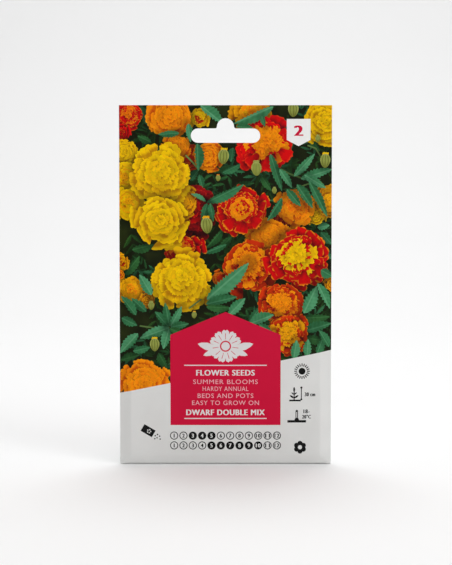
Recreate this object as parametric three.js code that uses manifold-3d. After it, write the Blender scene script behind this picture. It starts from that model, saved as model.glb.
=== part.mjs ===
// Seed packet: one sheet of coated paper, folded and glued into a flat pouch with a hang
// slot in its header, around a sealed inner sachet of slender seeds.
// Millimetres, +Z up. The printed front faces -Y, and the origin is the middle of the base.
import * as THREE from 'three';
import { mergeVertices } from 'three/addons/utils/BufferGeometryUtils.js';
import Module from 'manifold-3d';

const wasm = await Module();
wasm.setup();

// The folded packet.
const WIDTH = 95;
const HEIGHT = 161;
const HALF_WIDTH = WIDTH / 2;
const PAPER = 0.25;
const FOLD_DEPTH = 0.42; // half thickness at the side folds and in the pressed header
const BASE_DEPTH = 1.5; // half depth of the base that the packet stands on
const BASE_OPENING = 18; // height over which the side folds open towards the base
const BEVEL = 5.2; // width of the soft bevel inside the sides and above the base
const FRONT_FACE = { bevelDepth: 2.3, crown: 0.9 };
const BACK_FACE = { bevelDepth: 2.1, crown: 0.6 };
const SHOULDER = 106; // where the pouch starts to thin towards the header
const HEADER = 139; // bottom of the flat, glued header

// Glue joints: the gap between two glued layers, and the dry film in it.
const GLUE_GAP = 0.2;
const GLUE = 0.1;
const GLUE_CLEARANCE = (GLUE_GAP - GLUE) / 2;

// Lap seam on the back: the under layer ends at its start, the upper layer at its end.
const LAP_START = 20;
const LAP_END = 31;
const LAP_STEP = PAPER + GLUE_GAP;
const LAP_MARGIN = 1; // bare edge beside the glue
const RAMP = 2.2; // width over which a layer climbs over the one below it
const RAMP_END = LAP_START - 0.8; // the climb ends just short of the layer below
const FLAP_LAP_END = LAP_END + 0.3; // where the flap climbs back down past the lap

// Bottom flap: the front panel's extension, folded under the base and up the back.
const FLAP_HEIGHT = 13;
const FLAP_HALF_WIDTH = HALF_WIDTH - BEVEL;
const BASE_PANEL_HALF_WIDTH = HALF_WIDTH - 0.7;
const BACK_FOOT = PAPER + 0.1; // the back and side walls end just above the base panel

// Hang slot: a bar with round ends under a dome.
const SLOT = { length: 31, height: 6.4, centre: 147.5, domeRadius: 4.1, domeRise: 0.7, fillet: 0.8 };
const SLOT_GLUE_MARGIN = 0.6;
const HEADER_GLUE = { halfWidth: 45, bottom: 141, top: 159.5, thickness: 0.2 };

// Inner sachet of two films, sealed flat round its edges.
const SACHET = { halfWidth: 36, bottom: 5, top: 112, seal: 6, shoulder: 9, depth: 1.6, film: 0.15 };
const SACHET_SEAL_GAP = 0.1;

// Seeds: slender achenes with a pale tuft, gathered in the lower part of the sachet.
const SEED = { body: 6, tuft: 3.2, radius: 0.5, tuftRadius: 0.6, sides: 7 };
const SEED_CELL = 11;
const SEED_COLUMNS = 4;
const SEED_ROWS = 3;
const SEED_LAYERS = [-0.7, 0.7];
const SEED_PILE_BOTTOM = 22;
const SEED_TURN = 2.4; // radians from one seed to the next, so that no two lie alike

// Columns and rows of the folded surfaces. Layers that lie on each other share them.
const RIGHT_COLUMNS = [9, 18, 27, 36, FLAP_HALF_WIDTH];
const LEFT_COLUMNS = RIGHT_COLUMNS.map((x) => -x).reverse();
const OUTER_RIGHT_COLUMNS = RIGHT_COLUMNS.slice(-2);
const RAMP_COLUMNS = [RIGHT_COLUMNS[0], RAMP_END - RAMP, RAMP_END];
const GLUED_COLUMNS = [LAP_START + LAP_MARGIN, LAP_END - LAP_MARGIN];
const LAP_COLUMNS = [LAP_START, ...GLUED_COLUMNS, LAP_END];
const FLAP_COLUMNS = [
  ...LEFT_COLUMNS,
  0,
  ...RAMP_COLUMNS,
  ...GLUED_COLUMNS,
  FLAP_LAP_END,
  FLAP_LAP_END + RAMP,
  ...OUTER_RIGHT_COLUMNS,
];
const BASE_ROWS = [2.2, 4.4, 8, FLAP_HEIGHT];
const POUCH_ROWS = [18, 30, 45, 60, 75, 90, SHOULDER, 113, 120, 127, 133, HEADER];
const HEADER_ROWS = [150, HEIGHT];

const MATERIALS = {
  paper: new THREE.MeshStandardMaterial({ color: 0xe9e9e7, roughness: 0.55, metalness: 0 }),
  glue: new THREE.MeshStandardMaterial({ color: 0xe8e0c8, roughness: 0.4, metalness: 0 }),
  foil: new THREE.MeshStandardMaterial({ color: 0xb9bcc0, roughness: 0.35, metalness: 0.8 }),
  seed: new THREE.MeshStandardMaterial({ color: 0x2a231c, roughness: 0.8, metalness: 0 }),
};

function fraction(value, from, to) {
  return THREE.MathUtils.clamp((value - from) / (to - from), 0, 1);
}

// Half thickness of the pouch at a point of its face: thin at the side folds, a mitred
// bevel along the sides and the base, a gentle crown, and flat in the header.
function faceDepth(x, z, face) {
  const edge = FOLD_DEPTH + (BASE_DEPTH - FOLD_DEPTH) * (1 - fraction(z, 0, BASE_OPENING)) ** 2;
  const fromSide = fraction(HALF_WIDTH - Math.abs(x), 0, BEVEL);
  const fromBase = fraction(z, 0, BEVEL);
  const rise = Math.min(fromSide, fromBase);
  const across = 1 - Math.min(1, Math.abs(x) / FLAP_HALF_WIDTH) ** 2;
  const along = Math.sin(Math.PI * fraction(z, 0, HEADER));
  const taper = 1 - THREE.MathUtils.smoothstep(z, SHOULDER, HEADER);
  return edge + taper * rise * (face.bevelDepth - edge + face.crown * across * along);
}

const frontDepth = (x, z) => faceDepth(x, z, FRONT_FACE);
const backDepth = (x, z) => faceDepth(x, z, BACK_FACE);

// How far a layer stands off the back where it lies over the lap seam.
function lapStep(x, end) {
  const up = fraction(x, RAMP_END - RAMP, RAMP_END);
  const down = 1 - fraction(x, end, end + RAMP);
  return LAP_STEP * Math.min(up, down);
}

// A closed body between two point grids of the same size: both surfaces and the rim.
function thickSheet(outer, inner) {
  const rows = outer.length;
  const columns = outer[0].length;
  const points = [...outer.flat(), ...inner.flat()];
  const at = (side, row, column) => side * rows * columns + row * columns + column;
  const triangles = [];
  const quad = (a, b, c, d) => triangles.push(a, b, c, a, c, d);
  for (let row = 0; row < rows - 1; row += 1) {
    for (let column = 0; column < columns - 1; column += 1) {
      for (const side of [0, 1]) {
        const corners = [
          at(side, row, column),
          at(side, row, column + 1),
          at(side, row + 1, column + 1),
          at(side, row + 1, column),
        ];
        const [a, b, c, d] = corners;
        if (side === 0) triangles.push(a, b, c, a, c, d);
        else triangles.push(a, c, b, a, d, c);
      }
    }
  }
  for (let column = 0; column < columns - 1; column += 1) {
    const last = rows - 1;
    quad(at(0, 0, column + 1), at(0, 0, column), at(1, 0, column), at(1, 0, column + 1));
    quad(at(0, last, column), at(0, last, column + 1), at(1, last, column + 1), at(1, last, column));
  }
  for (let row = 0; row < rows - 1; row += 1) {
    const last = columns - 1;
    quad(at(0, row, 0), at(0, row + 1, 0), at(1, row + 1, 0), at(1, row, 0));
    quad(at(0, row + 1, last), at(0, row, last), at(1, row, last), at(1, row + 1, last));
  }
  const geometry = new THREE.BufferGeometry().setFromPoints(points);
  geometry.setIndex(triangles);
  return facingOut(geometry);
}

// Turns a closed mesh's faces outward, by the sign of the volume that they enclose.
function facingOut(geometry) {
  const position = geometry.getAttribute('position');
  const corners = [...geometry.getIndex().array];
  const [a, b, c] = [new THREE.Vector3(), new THREE.Vector3(), new THREE.Vector3()];
  let volume = 0;
  for (let i = 0; i < corners.length; i += 3) {
    a.fromBufferAttribute(position, corners[i]);
    b.fromBufferAttribute(position, corners[i + 1]);
    c.fromBufferAttribute(position, corners[i + 2]);
    volume += a.dot(b.cross(c)) / 6;
  }
  if (volume < 0) geometry.setIndex(corners.reverse());
  return geometry;
}

function toSolid(geometry) {
  const bare = geometry.clone();
  bare.deleteAttribute('normal');
  bare.deleteAttribute('uv');
  const merged = mergeVertices(bare);
  return new wasm.Manifold(
    new wasm.Mesh({
      numProp: 3,
      vertProperties: new Float32Array(merged.getAttribute('position').array),
      triVerts: new Uint32Array(merged.getIndex().array),
    }),
  );
}

function toGeometry(solid) {
  const mesh = solid.getMesh();
  const geometry = new THREE.BufferGeometry();
  geometry.setAttribute('position', new THREE.BufferAttribute(mesh.vertProperties, 3));
  geometry.setIndex(new THREE.BufferAttribute(mesh.triVerts, 1));
  return geometry;
}

// Outline of the hang slot in the plane of the header, grown by a margin.
function slotOutline(PathClass, margin) {
  const radius = SLOT.height / 2 + margin;
  const end = SLOT.length / 2 - SLOT.height / 2;
  const barTop = SLOT.centre + radius;
  const dome = SLOT.domeRadius + margin;
  const domeCentre = SLOT.centre + SLOT.height / 2 + SLOT.domeRise;
  const neck = dome + SLOT.fillet;
  const path = new PathClass();
  path.moveTo(-end, SLOT.centre - radius);
  path.lineTo(end, SLOT.centre - radius);
  path.absarc(end, SLOT.centre, radius, -Math.PI / 2, Math.PI / 2, false);
  path.lineTo(neck, barTop);
  path.quadraticCurveTo(dome, barTop, dome, domeCentre);
  path.absarc(0, domeCentre, dome, 0, Math.PI, false);
  path.quadraticCurveTo(-dome, barTop, -neck, barTop);
  path.lineTo(-end, barTop);
  path.absarc(-end, SLOT.centre, radius, Math.PI / 2, (Math.PI * 3) / 2, false);
  return path;
}

// Stands a shape drawn in X and Z upright, as a plate centred on y = 0.
function standingPlate(shape, thickness) {
  const plate = new THREE.ExtrudeGeometry(shape, {
    depth: thickness,
    bevelEnabled: false,
    curveSegments: 8,
  });
  return plate.rotateX(Math.PI / 2).translate(0, thickness / 2, 0);
}

// Cross-section of the folded sheet at one height, as matching outer and inner points:
// from the lap's under layer round the right fold, the front and the left fold, to the
// lap's upper layer.
function sheetSection(z) {
  const back = Math.max(z, BACK_FOOT);
  const outer = [];
  const inner = [];
  const add = (x, depth, side, height) => {
    outer.push(new THREE.Vector3(x, side * depth, height));
    inner.push(new THREE.Vector3(x, side * (depth - PAPER), height));
  };
  const addFold = (direction, side, height) => {
    const depth = backDepth(HALF_WIDTH, height);
    outer.push(new THREE.Vector3(direction * HALF_WIDTH, side * depth, height));
    inner.push(new THREE.Vector3(direction * (HALF_WIDTH - PAPER), side * (depth - PAPER), height));
  };
  for (const x of [...LAP_COLUMNS, ...OUTER_RIGHT_COLUMNS]) add(x, backDepth(x, back), 1, back);
  addFold(1, 1, back);
  addFold(1, -1, z);
  for (const x of [...LEFT_COLUMNS, 0, ...RIGHT_COLUMNS].reverse()) add(x, frontDepth(x, z), -1, z);
  addFold(-1, -1, z);
  addFold(-1, 1, back);
  for (const x of [...LEFT_COLUMNS, 0, ...RAMP_COLUMNS, ...LAP_COLUMNS]) {
    add(x, backDepth(x, back) + lapStep(x, LAP_END), 1, back);
  }
  return { outer, inner };
}

function foldedSheet() {
  const sections = [0, ...BASE_ROWS, ...POUCH_ROWS, ...HEADER_ROWS].map(sheetSection);
  return thickSheet(
    sections.map((section) => section.outer),
    sections.map((section) => section.inner),
  );
}

// Distance from y = 0 to the back's outside, where the flap lies over it and over the lap.
function overBack(x, z) {
  return backDepth(x, z) + lapStep(x, FLAP_LAP_END);
}

function backGrid(columns, rows, offset) {
  return rows.map((z) => columns.map((x) => new THREE.Vector3(x, overBack(x, z) + offset, z)));
}

function bottomFlap() {
  const rows = [0, ...BASE_ROWS];
  return thickSheet(
    backGrid(FLAP_COLUMNS, rows, GLUE_GAP + PAPER),
    backGrid(FLAP_COLUMNS, rows, GLUE_GAP),
  );
}

// The strip under the pouch, from the front panel's lower edge to the flap on the back.
function basePanel() {
  const inFront = -(BASE_DEPTH - PAPER / 2);
  const behind = GLUE_GAP + PAPER / 2;
  const shape = new THREE.Shape();
  shape.moveTo(-BASE_PANEL_HALF_WIDTH, inFront);
  shape.lineTo(BASE_PANEL_HALF_WIDTH, inFront);
  shape.lineTo(BASE_PANEL_HALF_WIDTH, BASE_DEPTH + behind);
  for (const x of [...FLAP_COLUMNS].reverse()) shape.lineTo(x, overBack(x, 0) + behind);
  shape.lineTo(-BASE_PANEL_HALF_WIDTH, BASE_DEPTH + behind);
  return new THREE.ExtrudeGeometry(shape, { depth: PAPER, bevelEnabled: false });
}

function paperEnvelope() {
  const punch = standingPlate(slotOutline(THREE.Shape, 0), 2 * BEVEL);
  const folded = toSolid(foldedSheet()).add(toSolid(basePanel())).add(toSolid(bottomFlap()));
  return toGeometry(folded.subtract(toSolid(punch)));
}

function lapGlue() {
  const rows = [...BASE_ROWS, ...POUCH_ROWS, HEADER_ROWS[0]];
  const grid = (offset) =>
    rows.map((z) => GLUED_COLUMNS.map((x) => new THREE.Vector3(x, backDepth(x, z) + offset, z)));
  return thickSheet(grid(GLUE_CLEARANCE + GLUE), grid(GLUE_CLEARANCE));
}

function flapGlue() {
  const columns = FLAP_COLUMNS.slice(1, -1);
  const rows = BASE_ROWS.slice(1);
  return thickSheet(
    backGrid(columns, rows, GLUE_CLEARANCE + GLUE),
    backGrid(columns, rows, GLUE_CLEARANCE),
  );
}

function headerGlue() {
  const { halfWidth, bottom, top, thickness } = HEADER_GLUE;
  const shape = new THREE.Shape();
  shape.moveTo(-halfWidth, bottom);
  shape.lineTo(halfWidth, bottom);
  shape.lineTo(halfWidth, top);
  shape.lineTo(-halfWidth, top);
  shape.holes.push(slotOutline(THREE.Path, SLOT_GLUE_MARGIN));
  return standingPlate(shape, thickness);
}

// Half thickness of the sachet: closed at the sealed edges, full in the middle.
function sachetDepth(x, z) {
  const { halfWidth, bottom, top, seal, shoulder, depth } = SACHET;
  const fromEdge = Math.min(halfWidth - Math.abs(x), z - bottom, top - z);
  return SACHET_SEAL_GAP / 2 + depth * THREE.MathUtils.smoothstep(fromEdge, seal, seal + shoulder);
}

function sachetFilm(side) {
  const { halfWidth, bottom, top, seal, shoulder, film } = SACHET;
  const insets = [0, seal, seal + shoulder / 2, seal + shoulder];
  const between = (low, high, middle) => [
    ...insets.map((inset) => low + inset),
    ...middle,
    ...insets.map((inset) => high - inset).reverse(),
  ];
  const columns = between(-halfWidth, halfWidth, [0]);
  const rows = between(bottom, top, [42, 58, 75]);
  const grid = (offset) =>
    rows.map((z) => columns.map((x) => new THREE.Vector3(x, side * (sachetDepth(x, z) + offset), z)));
  return thickSheet(grid(film), grid(0));
}

// One achene, its length along Y, with the tuft of pale scales at its upper end.
function seedShape() {
  const half = (SEED.body + SEED.tuft) / 2;
  const neck = half - SEED.tuft;
  const profile = [
    new THREE.Vector2(0, -half),
    new THREE.Vector2(SEED.radius * 0.5, -half + 0.4),
    new THREE.Vector2(SEED.radius, 0),
    new THREE.Vector2(SEED.radius * 0.6, neck),
    new THREE.Vector2(SEED.tuftRadius, half - 0.3),
    new THREE.Vector2(0, half),
  ];
  return new THREE.LatheGeometry(profile, SEED.sides);
}

function subPart(name, geometry, material) {
  const mesh = new THREE.Mesh(geometry, material);
  mesh.name = name;
  return mesh;
}

// The seeds, one to a cell of the pile, each turned its own way in the sachet's plane.
function seeds() {
  const group = new THREE.Group();
  for (const layer of SEED_LAYERS) {
    for (let row = 0; row < SEED_ROWS; row += 1) {
      for (let column = 0; column < SEED_COLUMNS; column += 1) {
        const number = group.children.length + 1;
        const seed = subPart(`seed_${String(number).padStart(2, '0')}`, seedShape(), MATERIALS.seed);
        const x = (column - (SEED_COLUMNS - 1) / 2) * SEED_CELL;
        seed.position.set(x, layer, SEED_PILE_BOTTOM + row * SEED_CELL);
        seed.rotation.order = 'YXZ';
        seed.rotation.set(Math.PI / 2, number * SEED_TURN, 0);
        group.add(seed);
      }
    }
  }
  return group;
}

const packet = new THREE.Group();
packet.add(
  subPart('paper_envelope', paperEnvelope(), MATERIALS.paper),
  subPart('lap_seam_glue', lapGlue(), MATERIALS.glue),
  subPart('bottom_flap_glue', flapGlue(), MATERIALS.glue),
  subPart('header_glue', headerGlue(), MATERIALS.glue),
  subPart('sachet_front_film', sachetFilm(-1), MATERIALS.foil),
  subPart('sachet_back_film', sachetFilm(1), MATERIALS.foil),
  seeds(),
);

// Centres the packet's depth on the origin.
const depthRange = new THREE.Box3().setFromObject(packet);
packet.position.y = -(depthRange.min.y + depthRange.max.y) / 2;

export default packet;
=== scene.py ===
"""Seed packet: the printed, folded and glued paper envelope, its inner sachet and its seeds."""

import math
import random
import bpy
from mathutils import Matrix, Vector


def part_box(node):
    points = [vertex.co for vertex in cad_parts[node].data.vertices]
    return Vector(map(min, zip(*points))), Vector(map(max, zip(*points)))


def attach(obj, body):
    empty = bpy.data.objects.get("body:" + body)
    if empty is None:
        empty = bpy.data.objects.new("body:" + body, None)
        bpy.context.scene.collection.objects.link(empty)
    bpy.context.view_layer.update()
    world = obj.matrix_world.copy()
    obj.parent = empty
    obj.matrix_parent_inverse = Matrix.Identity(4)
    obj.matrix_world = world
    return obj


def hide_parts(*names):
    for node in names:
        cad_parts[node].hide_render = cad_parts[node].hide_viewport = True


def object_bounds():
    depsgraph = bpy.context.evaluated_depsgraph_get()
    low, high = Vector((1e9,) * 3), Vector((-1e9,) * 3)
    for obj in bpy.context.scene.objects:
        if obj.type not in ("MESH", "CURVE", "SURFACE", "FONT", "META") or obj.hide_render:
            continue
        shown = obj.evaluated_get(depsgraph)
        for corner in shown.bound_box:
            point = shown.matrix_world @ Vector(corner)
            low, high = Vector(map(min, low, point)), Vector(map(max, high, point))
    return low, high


bl_info = {
    "name": "Seed Packet",
    "version": (1, 0, 0),
    "blender": (4, 5, 0),
    "location": "View3D > Sidebar > Seed Packet",
    "description": "Folds and prints a paper seed packet around its packed frame",
    "category": "Add Mesh",
}

import bmesh
import bpy
import numpy as np
from bpy.props import FloatProperty, FloatVectorProperty, PointerProperty
from mathutils import Vector
from mathutils.geometry import delaunay_2d_cdt

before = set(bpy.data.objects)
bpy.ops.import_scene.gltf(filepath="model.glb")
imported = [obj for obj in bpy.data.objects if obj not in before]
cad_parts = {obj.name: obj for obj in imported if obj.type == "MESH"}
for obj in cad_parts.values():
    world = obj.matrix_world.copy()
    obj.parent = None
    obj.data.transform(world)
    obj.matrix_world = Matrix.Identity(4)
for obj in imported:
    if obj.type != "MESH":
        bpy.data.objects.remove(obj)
CAD_LOW, CAD_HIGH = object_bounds()
MM = 0.001
ENVELOPE = "paper_envelope"


def linear(code):
    """Turns an sRGB hex colour into linear red, green and blue."""
    parts = [int(code[i : i + 2], 16) / 255 for i in (1, 3, 5)]
    return tuple(c / 12.92 if c <= 0.04045 else ((c + 0.055) / 1.055) ** 2.4 for c in parts)


def length(label, text, default):
    """A size in metres, given here in millimetres."""
    return FloatProperty(name=label, description=text, default=default * MM, unit="LENGTH", precision=5)


def colour(label, text, code):
    """A colour of the packet, given here as an sRGB hex code."""
    return FloatVectorProperty(name=label, description=text, default=linear(code), subtype="COLOR", size=3)


class PacketSizes(bpy.types.PropertyGroup):
    """Sizes of the folded packet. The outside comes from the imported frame."""

    paper: length("Paper", "Thickness of the coated paper", 0.25)
    fold: length("Fold", "Half thickness at the side folds and in the header", 0.42)
    fold_radius: length("Fold radius", "Outer radius of the side folds", 0.36)
    base_radius: length("Base radius", "Outer radius of the fold along the base", 1.25)
    base_depth: length("Base depth", "Half depth of the base", 1.45)
    base_opening: length("Base opening", "Height over which the folds open to the base", 18)
    bevel: length("Bevel", "Width of the soft bevel inside the sides and the base", 5.2)
    front_depth: length("Front depth", "Depth of the front at its bevel", 2.3)
    front_crown: length("Front crown", "Extra depth in the middle of the front", 0.9)
    back_depth: length("Back depth", "Depth of the back at its bevel", 2.1)
    back_crown: length("Back crown", "Extra depth in the middle of the back", 0.6)
    shoulder: length("Shoulder", "Height where the pouch starts to thin", 106)
    header: length("Header", "Height of the bottom of the glued header", 139)
    slot_length: length("Slot length", "Length of the hang slot's bar", 31)
    slot_height: length("Slot height", "Height of the hang slot's bar", 6.4)
    slot_centre: length("Slot centre", "Height of the middle of the bar", 147.5)
    slot_dome: length("Slot dome", "Radius of the dome over the bar", 3.85)
    lap_start: length("Lap start", "Across position of the under panel's edge", 20)
    lap_end: length("Lap end", "Across position of the upper panel's edge", 31)
    lap_rise: length("Lap rise", "How far the upper panel steps over the under one", 0.45)
    lap_ramp: length("Lap ramp", "Width of that step", 2.2)
    lap_ramp_end: length("Lap ramp end", "Across position where the step is complete", 19.2)
    flap_lap_end: length("Flap lap end", "Where the bottom flap comes back down past the lap", 31.3)
    flap_height: length("Flap height", "Height of the bottom flap on the back", 13)
    flap_half: length("Flap half width", "Half width of the bottom flap", 42.3)
    base_half: length("Base half width", "Half width of the strip under the base", 46.8)
    glue_gap: length("Glue gap", "Gap that the glue fills between flap and back", 0.2)
    back_foot: length("Back foot", "Height of the back panels' lower edge", 2.5)


class PacketColours(bpy.types.PropertyGroup):
    """Colours of the paper and of the printing inks."""

    paper: colour("Paper", "Coated white paper", "#E4E4E2")
    label: colour("Label", "Crimson label ink", "#D0103A")
    black: colour("Black", "Black ink of the icons", "#141414")
    glue: colour("Glue", "Dry adhesive", "#D8CDA8")
    foil: colour("Foil", "Foil laminate of the inner sachet", "#B9BCC0")
    husk: colour("Husk", "Dry seed husk", "#2A231C")


class StageSettings(bpy.types.PropertyGroup):
    """The camera and the studio around the packet."""

    lens: FloatProperty(name="Lens", description="Camera lens in millimetres", default=85)
    view_height: length("View height", "Height of the scene that the camera takes in", 253.5)
    packet_centre: length("Look-at height", "Height at the middle of the view", 81.9)
    packet_side: length("Look-at side", "Across position of the middle of the view", 0.22)
    tilt: FloatProperty(
        name="Tilt", description="Camera height above the level", default=math.radians(3), subtype="ANGLE"
    )


def settings(group):
    """The sizes, colours or stage of the open scene."""
    return getattr(bpy.context.scene, "seed_packet_" + group)


# ---------------------------------------------------------------------------------------
# The folded sheet's surface. Sheet coordinates are in millimetres: s runs across from the
# middle of the front round the side folds, and w runs up from the base fold.


def soft_ramp(t, softness=0.09):
    """Rises from 0 to 1 and stays, with its upper corner rounded like a pressed crease."""
    corner = 1 - (1 + softness - t) ** 2 / (4 * softness)
    return np.where(t < 1 - softness, np.maximum(t, 0), np.where(t < 1 + softness, corner, 1))


def smooth_step(t):
    """Rises from 0 to 1 and stays, level at both ends."""
    t = np.clip(t, 0, 1)
    return t * t * (3 - 2 * t)


def soft_minimum(a, b, softness=0.07):
    """The lower of two values, rounded off where they cross."""
    h = np.clip(0.5 + 0.5 * (b - a) / softness, 0, 1)
    return b + (a - b) * h - softness * h * (1 - h)


class Fold:
    """Where the folded paper lies: depth of the front and back, and points on them."""

    def __init__(self, sizes):
        for name in type(sizes).__annotations__:
            setattr(self, name, getattr(sizes, name) / MM)
        low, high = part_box("header_glue")
        self.middle = (low.y + high.y) / 2 / MM
        self.half = CAD_HIGH.x / MM
        self.height = CAD_HIGH.z / MM
        self.flat = self.half - self.fold_radius
        self.arc = self.fold_radius * math.pi / 2
        self.base_strip = 2 * self.base_depth + self.glue_gap + self.paper - 2 * self.base_radius
        self.side_strip = 0.5  # sheet width given to the flat between the two arcs of a fold
        self.overrun = 1.0  # how far the front sheet goes on past its side folds, to meet the back panels
        self.bleed = self.flat + 2 * self.arc + self.side_strip + self.overrun

    def base_turns(self):
        """Rows that follow the turn of the base fold."""
        return [self.base_radius - self.base_radius * math.pi / 2 * i / 5 for i in range(1, 5)]

    def depth(self, x, z, face_depth, crown, rolled=False):
        """Depth of a face: its pressed bevel, its bulge and its taper towards the header."""
        z = np.clip(z, 0, self.height)
        opening = 1 - np.clip(z / self.base_opening, 0, 1)
        edge = self.fold + (self.base_depth - self.fold) * opening**2
        side = soft_ramp((self.half - np.abs(x)) / self.bevel)
        base = 1 - (1 - np.clip(z / self.bevel, 0, 1)) ** 2 if rolled else soft_ramp(z / self.bevel)
        across = 1 - np.minimum(1, np.abs(x) / (self.half - self.bevel)) ** 2
        along = np.sin(math.pi * np.clip(z / self.header, 0, 1))
        taper = 1 - smooth_step((z - self.shoulder) / (self.header - self.shoulder))
        rise = soft_minimum(side, base)
        return edge + taper * rise * (face_depth - edge + crown * across * along)

    def front(self, x, z):
        """Front depth, with the faint waves that the sheet keeps from folding."""
        waves = 0.05 * np.sin(x / 9 + 1.3) * np.sin(z / 17 + 0.6) + 0.03 * np.sin(x / 5 - z / 11)
        pucker = -0.28 * np.exp(-(((x - 38.5) / 2.6) ** 2) - ((z - 23) / 8) ** 2)
        smooth = self.depth(x, z, self.front_depth, self.front_crown, rolled=True)
        return smooth + (waves + pucker) * self.slack(x, z)

    def back(self, x, z):
        """Back depth, with its own faint waves."""
        waves = 0.05 * np.sin(x / 8 + 0.4) * np.sin(z / 15 + 1.6)
        return self.depth(x, z, self.back_depth, self.back_crown) + waves * self.slack(x, z)

    def slack(self, x, z):
        """How freely the paper waves: not at all on a fold, and fully from 8 mm inside it."""
        reach = 8
        return smooth_step((self.half - np.abs(x)) / reach) * smooth_step(z / reach)

    def tuck(self, a, turn):
        """How far the base fold has drawn in after a turn. The side folds are tighter."""
        by_side = smooth_step((a - self.flat + 3) / 3)
        tightest = 0.9 * self.fold_radius / self.base_radius  # just under the side folds' own radius
        return self.base_radius * (1 - np.cos(turn)) * (1 - by_side * (1 - tightest))

    def around_front(self, s, w):
        """Points of the front sheet, from its middle round the side folds, above the base fold."""
        s, w = np.asarray(s, float), np.asarray(w, float)
        side, a = np.sign(s), np.abs(s)
        turn = np.clip((self.base_radius - w) / self.base_radius, 0, math.pi / 2)
        z = np.where(w < self.base_radius, self.base_radius * (1 - np.sin(turn)), w)
        tuck = self.tuck(a, turn)
        r, arc, strip = self.fold_radius, self.arc, self.side_strip
        front_edge = self.front(np.full_like(a, self.flat), z)
        back_edge = self.back(np.full_like(a, self.flat), z)
        first = np.clip((a - self.flat) / arc, 0, 1) * math.pi / 2
        across = np.clip((a - self.flat - arc) / strip, 0, 1)
        second = np.clip((a - self.flat - arc - strip) / arc, 0, 1) * math.pi / 2
        past = np.maximum(a - self.flat - 2 * arc - strip, 0)
        x = np.minimum(a, self.flat) + r * np.sin(first) - r * (1 - np.cos(second)) - past
        y_front = -np.where(a <= self.flat, self.front(x, z), front_edge - r + r * np.cos(first))
        y_strip = y_front + across * (front_edge - r + back_edge - r)
        y_back = np.where(past > 0, self.back(x, z), back_edge - r + r * np.sin(second))
        y = np.where(second > 0, y_back, y_strip)
        angle = first + second
        nx, ny = np.sin(angle), -np.cos(angle)
        return np.stack([side * (x - tuck * nx), y - tuck * ny + self.middle, z], -1)

    def lap_step(self, x, end):
        """How far a layer lies off the back where it covers the other panel's edge."""
        up = np.clip((x - self.lap_ramp_end + self.lap_ramp) / self.lap_ramp, 0, 1)
        down = 1 - np.clip((x - end) / self.lap_ramp, 0, 1)
        return self.lap_rise * smooth_step(up) * smooth_step(down)

    def upper_back(self, s, w):
        """Points of the back panel that lies on top. Seen from behind, s runs to the right."""
        s, w = np.asarray(s, float), np.asarray(w, float)
        lift = self.lap_step(-s, self.lap_end)
        return np.stack([-s, self.back(s, w) + lift + self.middle, w], -1)

    def under_back(self, s, w):
        """Points of the back panel that lies below."""
        s, w = np.asarray(s, float), np.asarray(w, float)
        return np.stack([-s, self.back(s, w) + self.middle, w], -1)

    def base_flap(self, s, w):
        """Points of the strip under the base, where w is low, and of the flap up the back."""
        s, w = np.asarray(s, float), np.asarray(w, float)
        r = self.base_radius
        turn = np.clip((r - w) / r, 0, math.pi / 2)
        z = np.where(w < r, r * (1 - np.sin(turn)), w)
        off = self.glue_gap + self.paper
        y_back = self.back(s, z) + self.lap_step(-s, self.flap_lap_end) + off
        along = np.clip((r * (1 - math.pi / 2) - w) / self.base_strip, 0, 1)
        y_front = -self.base_depth + self.tuck(np.abs(s), math.pi / 2)
        y = y_back - np.where(w < r, r * (1 - np.cos(turn)), 0)
        return np.stack([-s, y + along * (y_front - y) + self.middle, z], -1)


def surface_normals(place, s, w):
    """Unit normals of a surface, found by a small step along s and along w."""
    step = 0.02
    along_s = place(s + step, w) - place(s - step, w)
    along_w = place(s, w + step) - place(s, w - step)
    normals = np.cross(along_s, along_w)
    return normals / np.maximum(np.linalg.norm(normals, axis=-1, keepdims=True), 1e-9)


# ---------------------------------------------------------------------------------------
# The printed drawing: flat shapes in painter's order, each with its own axes and colours.

FINISHES = ("paper", "spot", "petal", "leaf")


def signed_area(ring):
    """Twice the area of an outline, below zero where it runs clockwise."""
    return sum(a[0] * b[1] - b[0] * a[1] for a, b in zip(ring, ring[1:] + ring[:1]))


class Drawing:
    """A printed design as a list of flat shapes, later ones over earlier ones."""

    def __init__(self):
        self.shapes = []
        self.shadows = []

    def add(
        self, outline, finish, main, deep=None, rim=None, origin=(0, 0), along=(0, 1), half=1.0, seed=0.0
    ):
        """half is the shape's half width across its own length."""
        run = math.hypot(*along) or 1
        across = (along[1] / run * half, -along[0] / run * half)
        before = outline[-1:] + outline[:-1]
        outline = [b for a, b in zip(before, outline) if math.hypot(b[0] - a[0], b[1] - a[1]) > 0.01]
        if len(outline) < 3:
            return
        if signed_area(outline) < 0:  # the cut needs every outline to run anticlockwise
            outline = outline[::-1]
        self.shapes.append((outline, finish, main, deep or main, rim or main, origin, across, along, seed))

    def shade(self, start, end, radius, softness, strength):
        """A soft dark halo on what lies below, round a capsule from start to end."""
        self.shadows.append((len(self.shapes), start, end, radius, softness, strength))


def disc(x, z, radius, count):
    """A round outline with so many points."""
    turns = [2 * math.pi * i / count for i in range(count)]
    return [(x + radius * math.cos(t), z + radius * math.sin(t)) for t in turns]


def bar(x0, z0, x1, z1):
    """An upright rectangle between two opposite corners."""
    return [(x0, z0), (x1, z0), (x1, z1), (x0, z1)]


def turned(points, x, z, angle, scale=1.0):
    """An outline scaled, turned and moved to a place."""
    c, s = math.cos(angle) * scale, math.sin(angle) * scale
    return [(x + c * u - s * v, z + s * u + c * v) for u, v in points]


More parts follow.
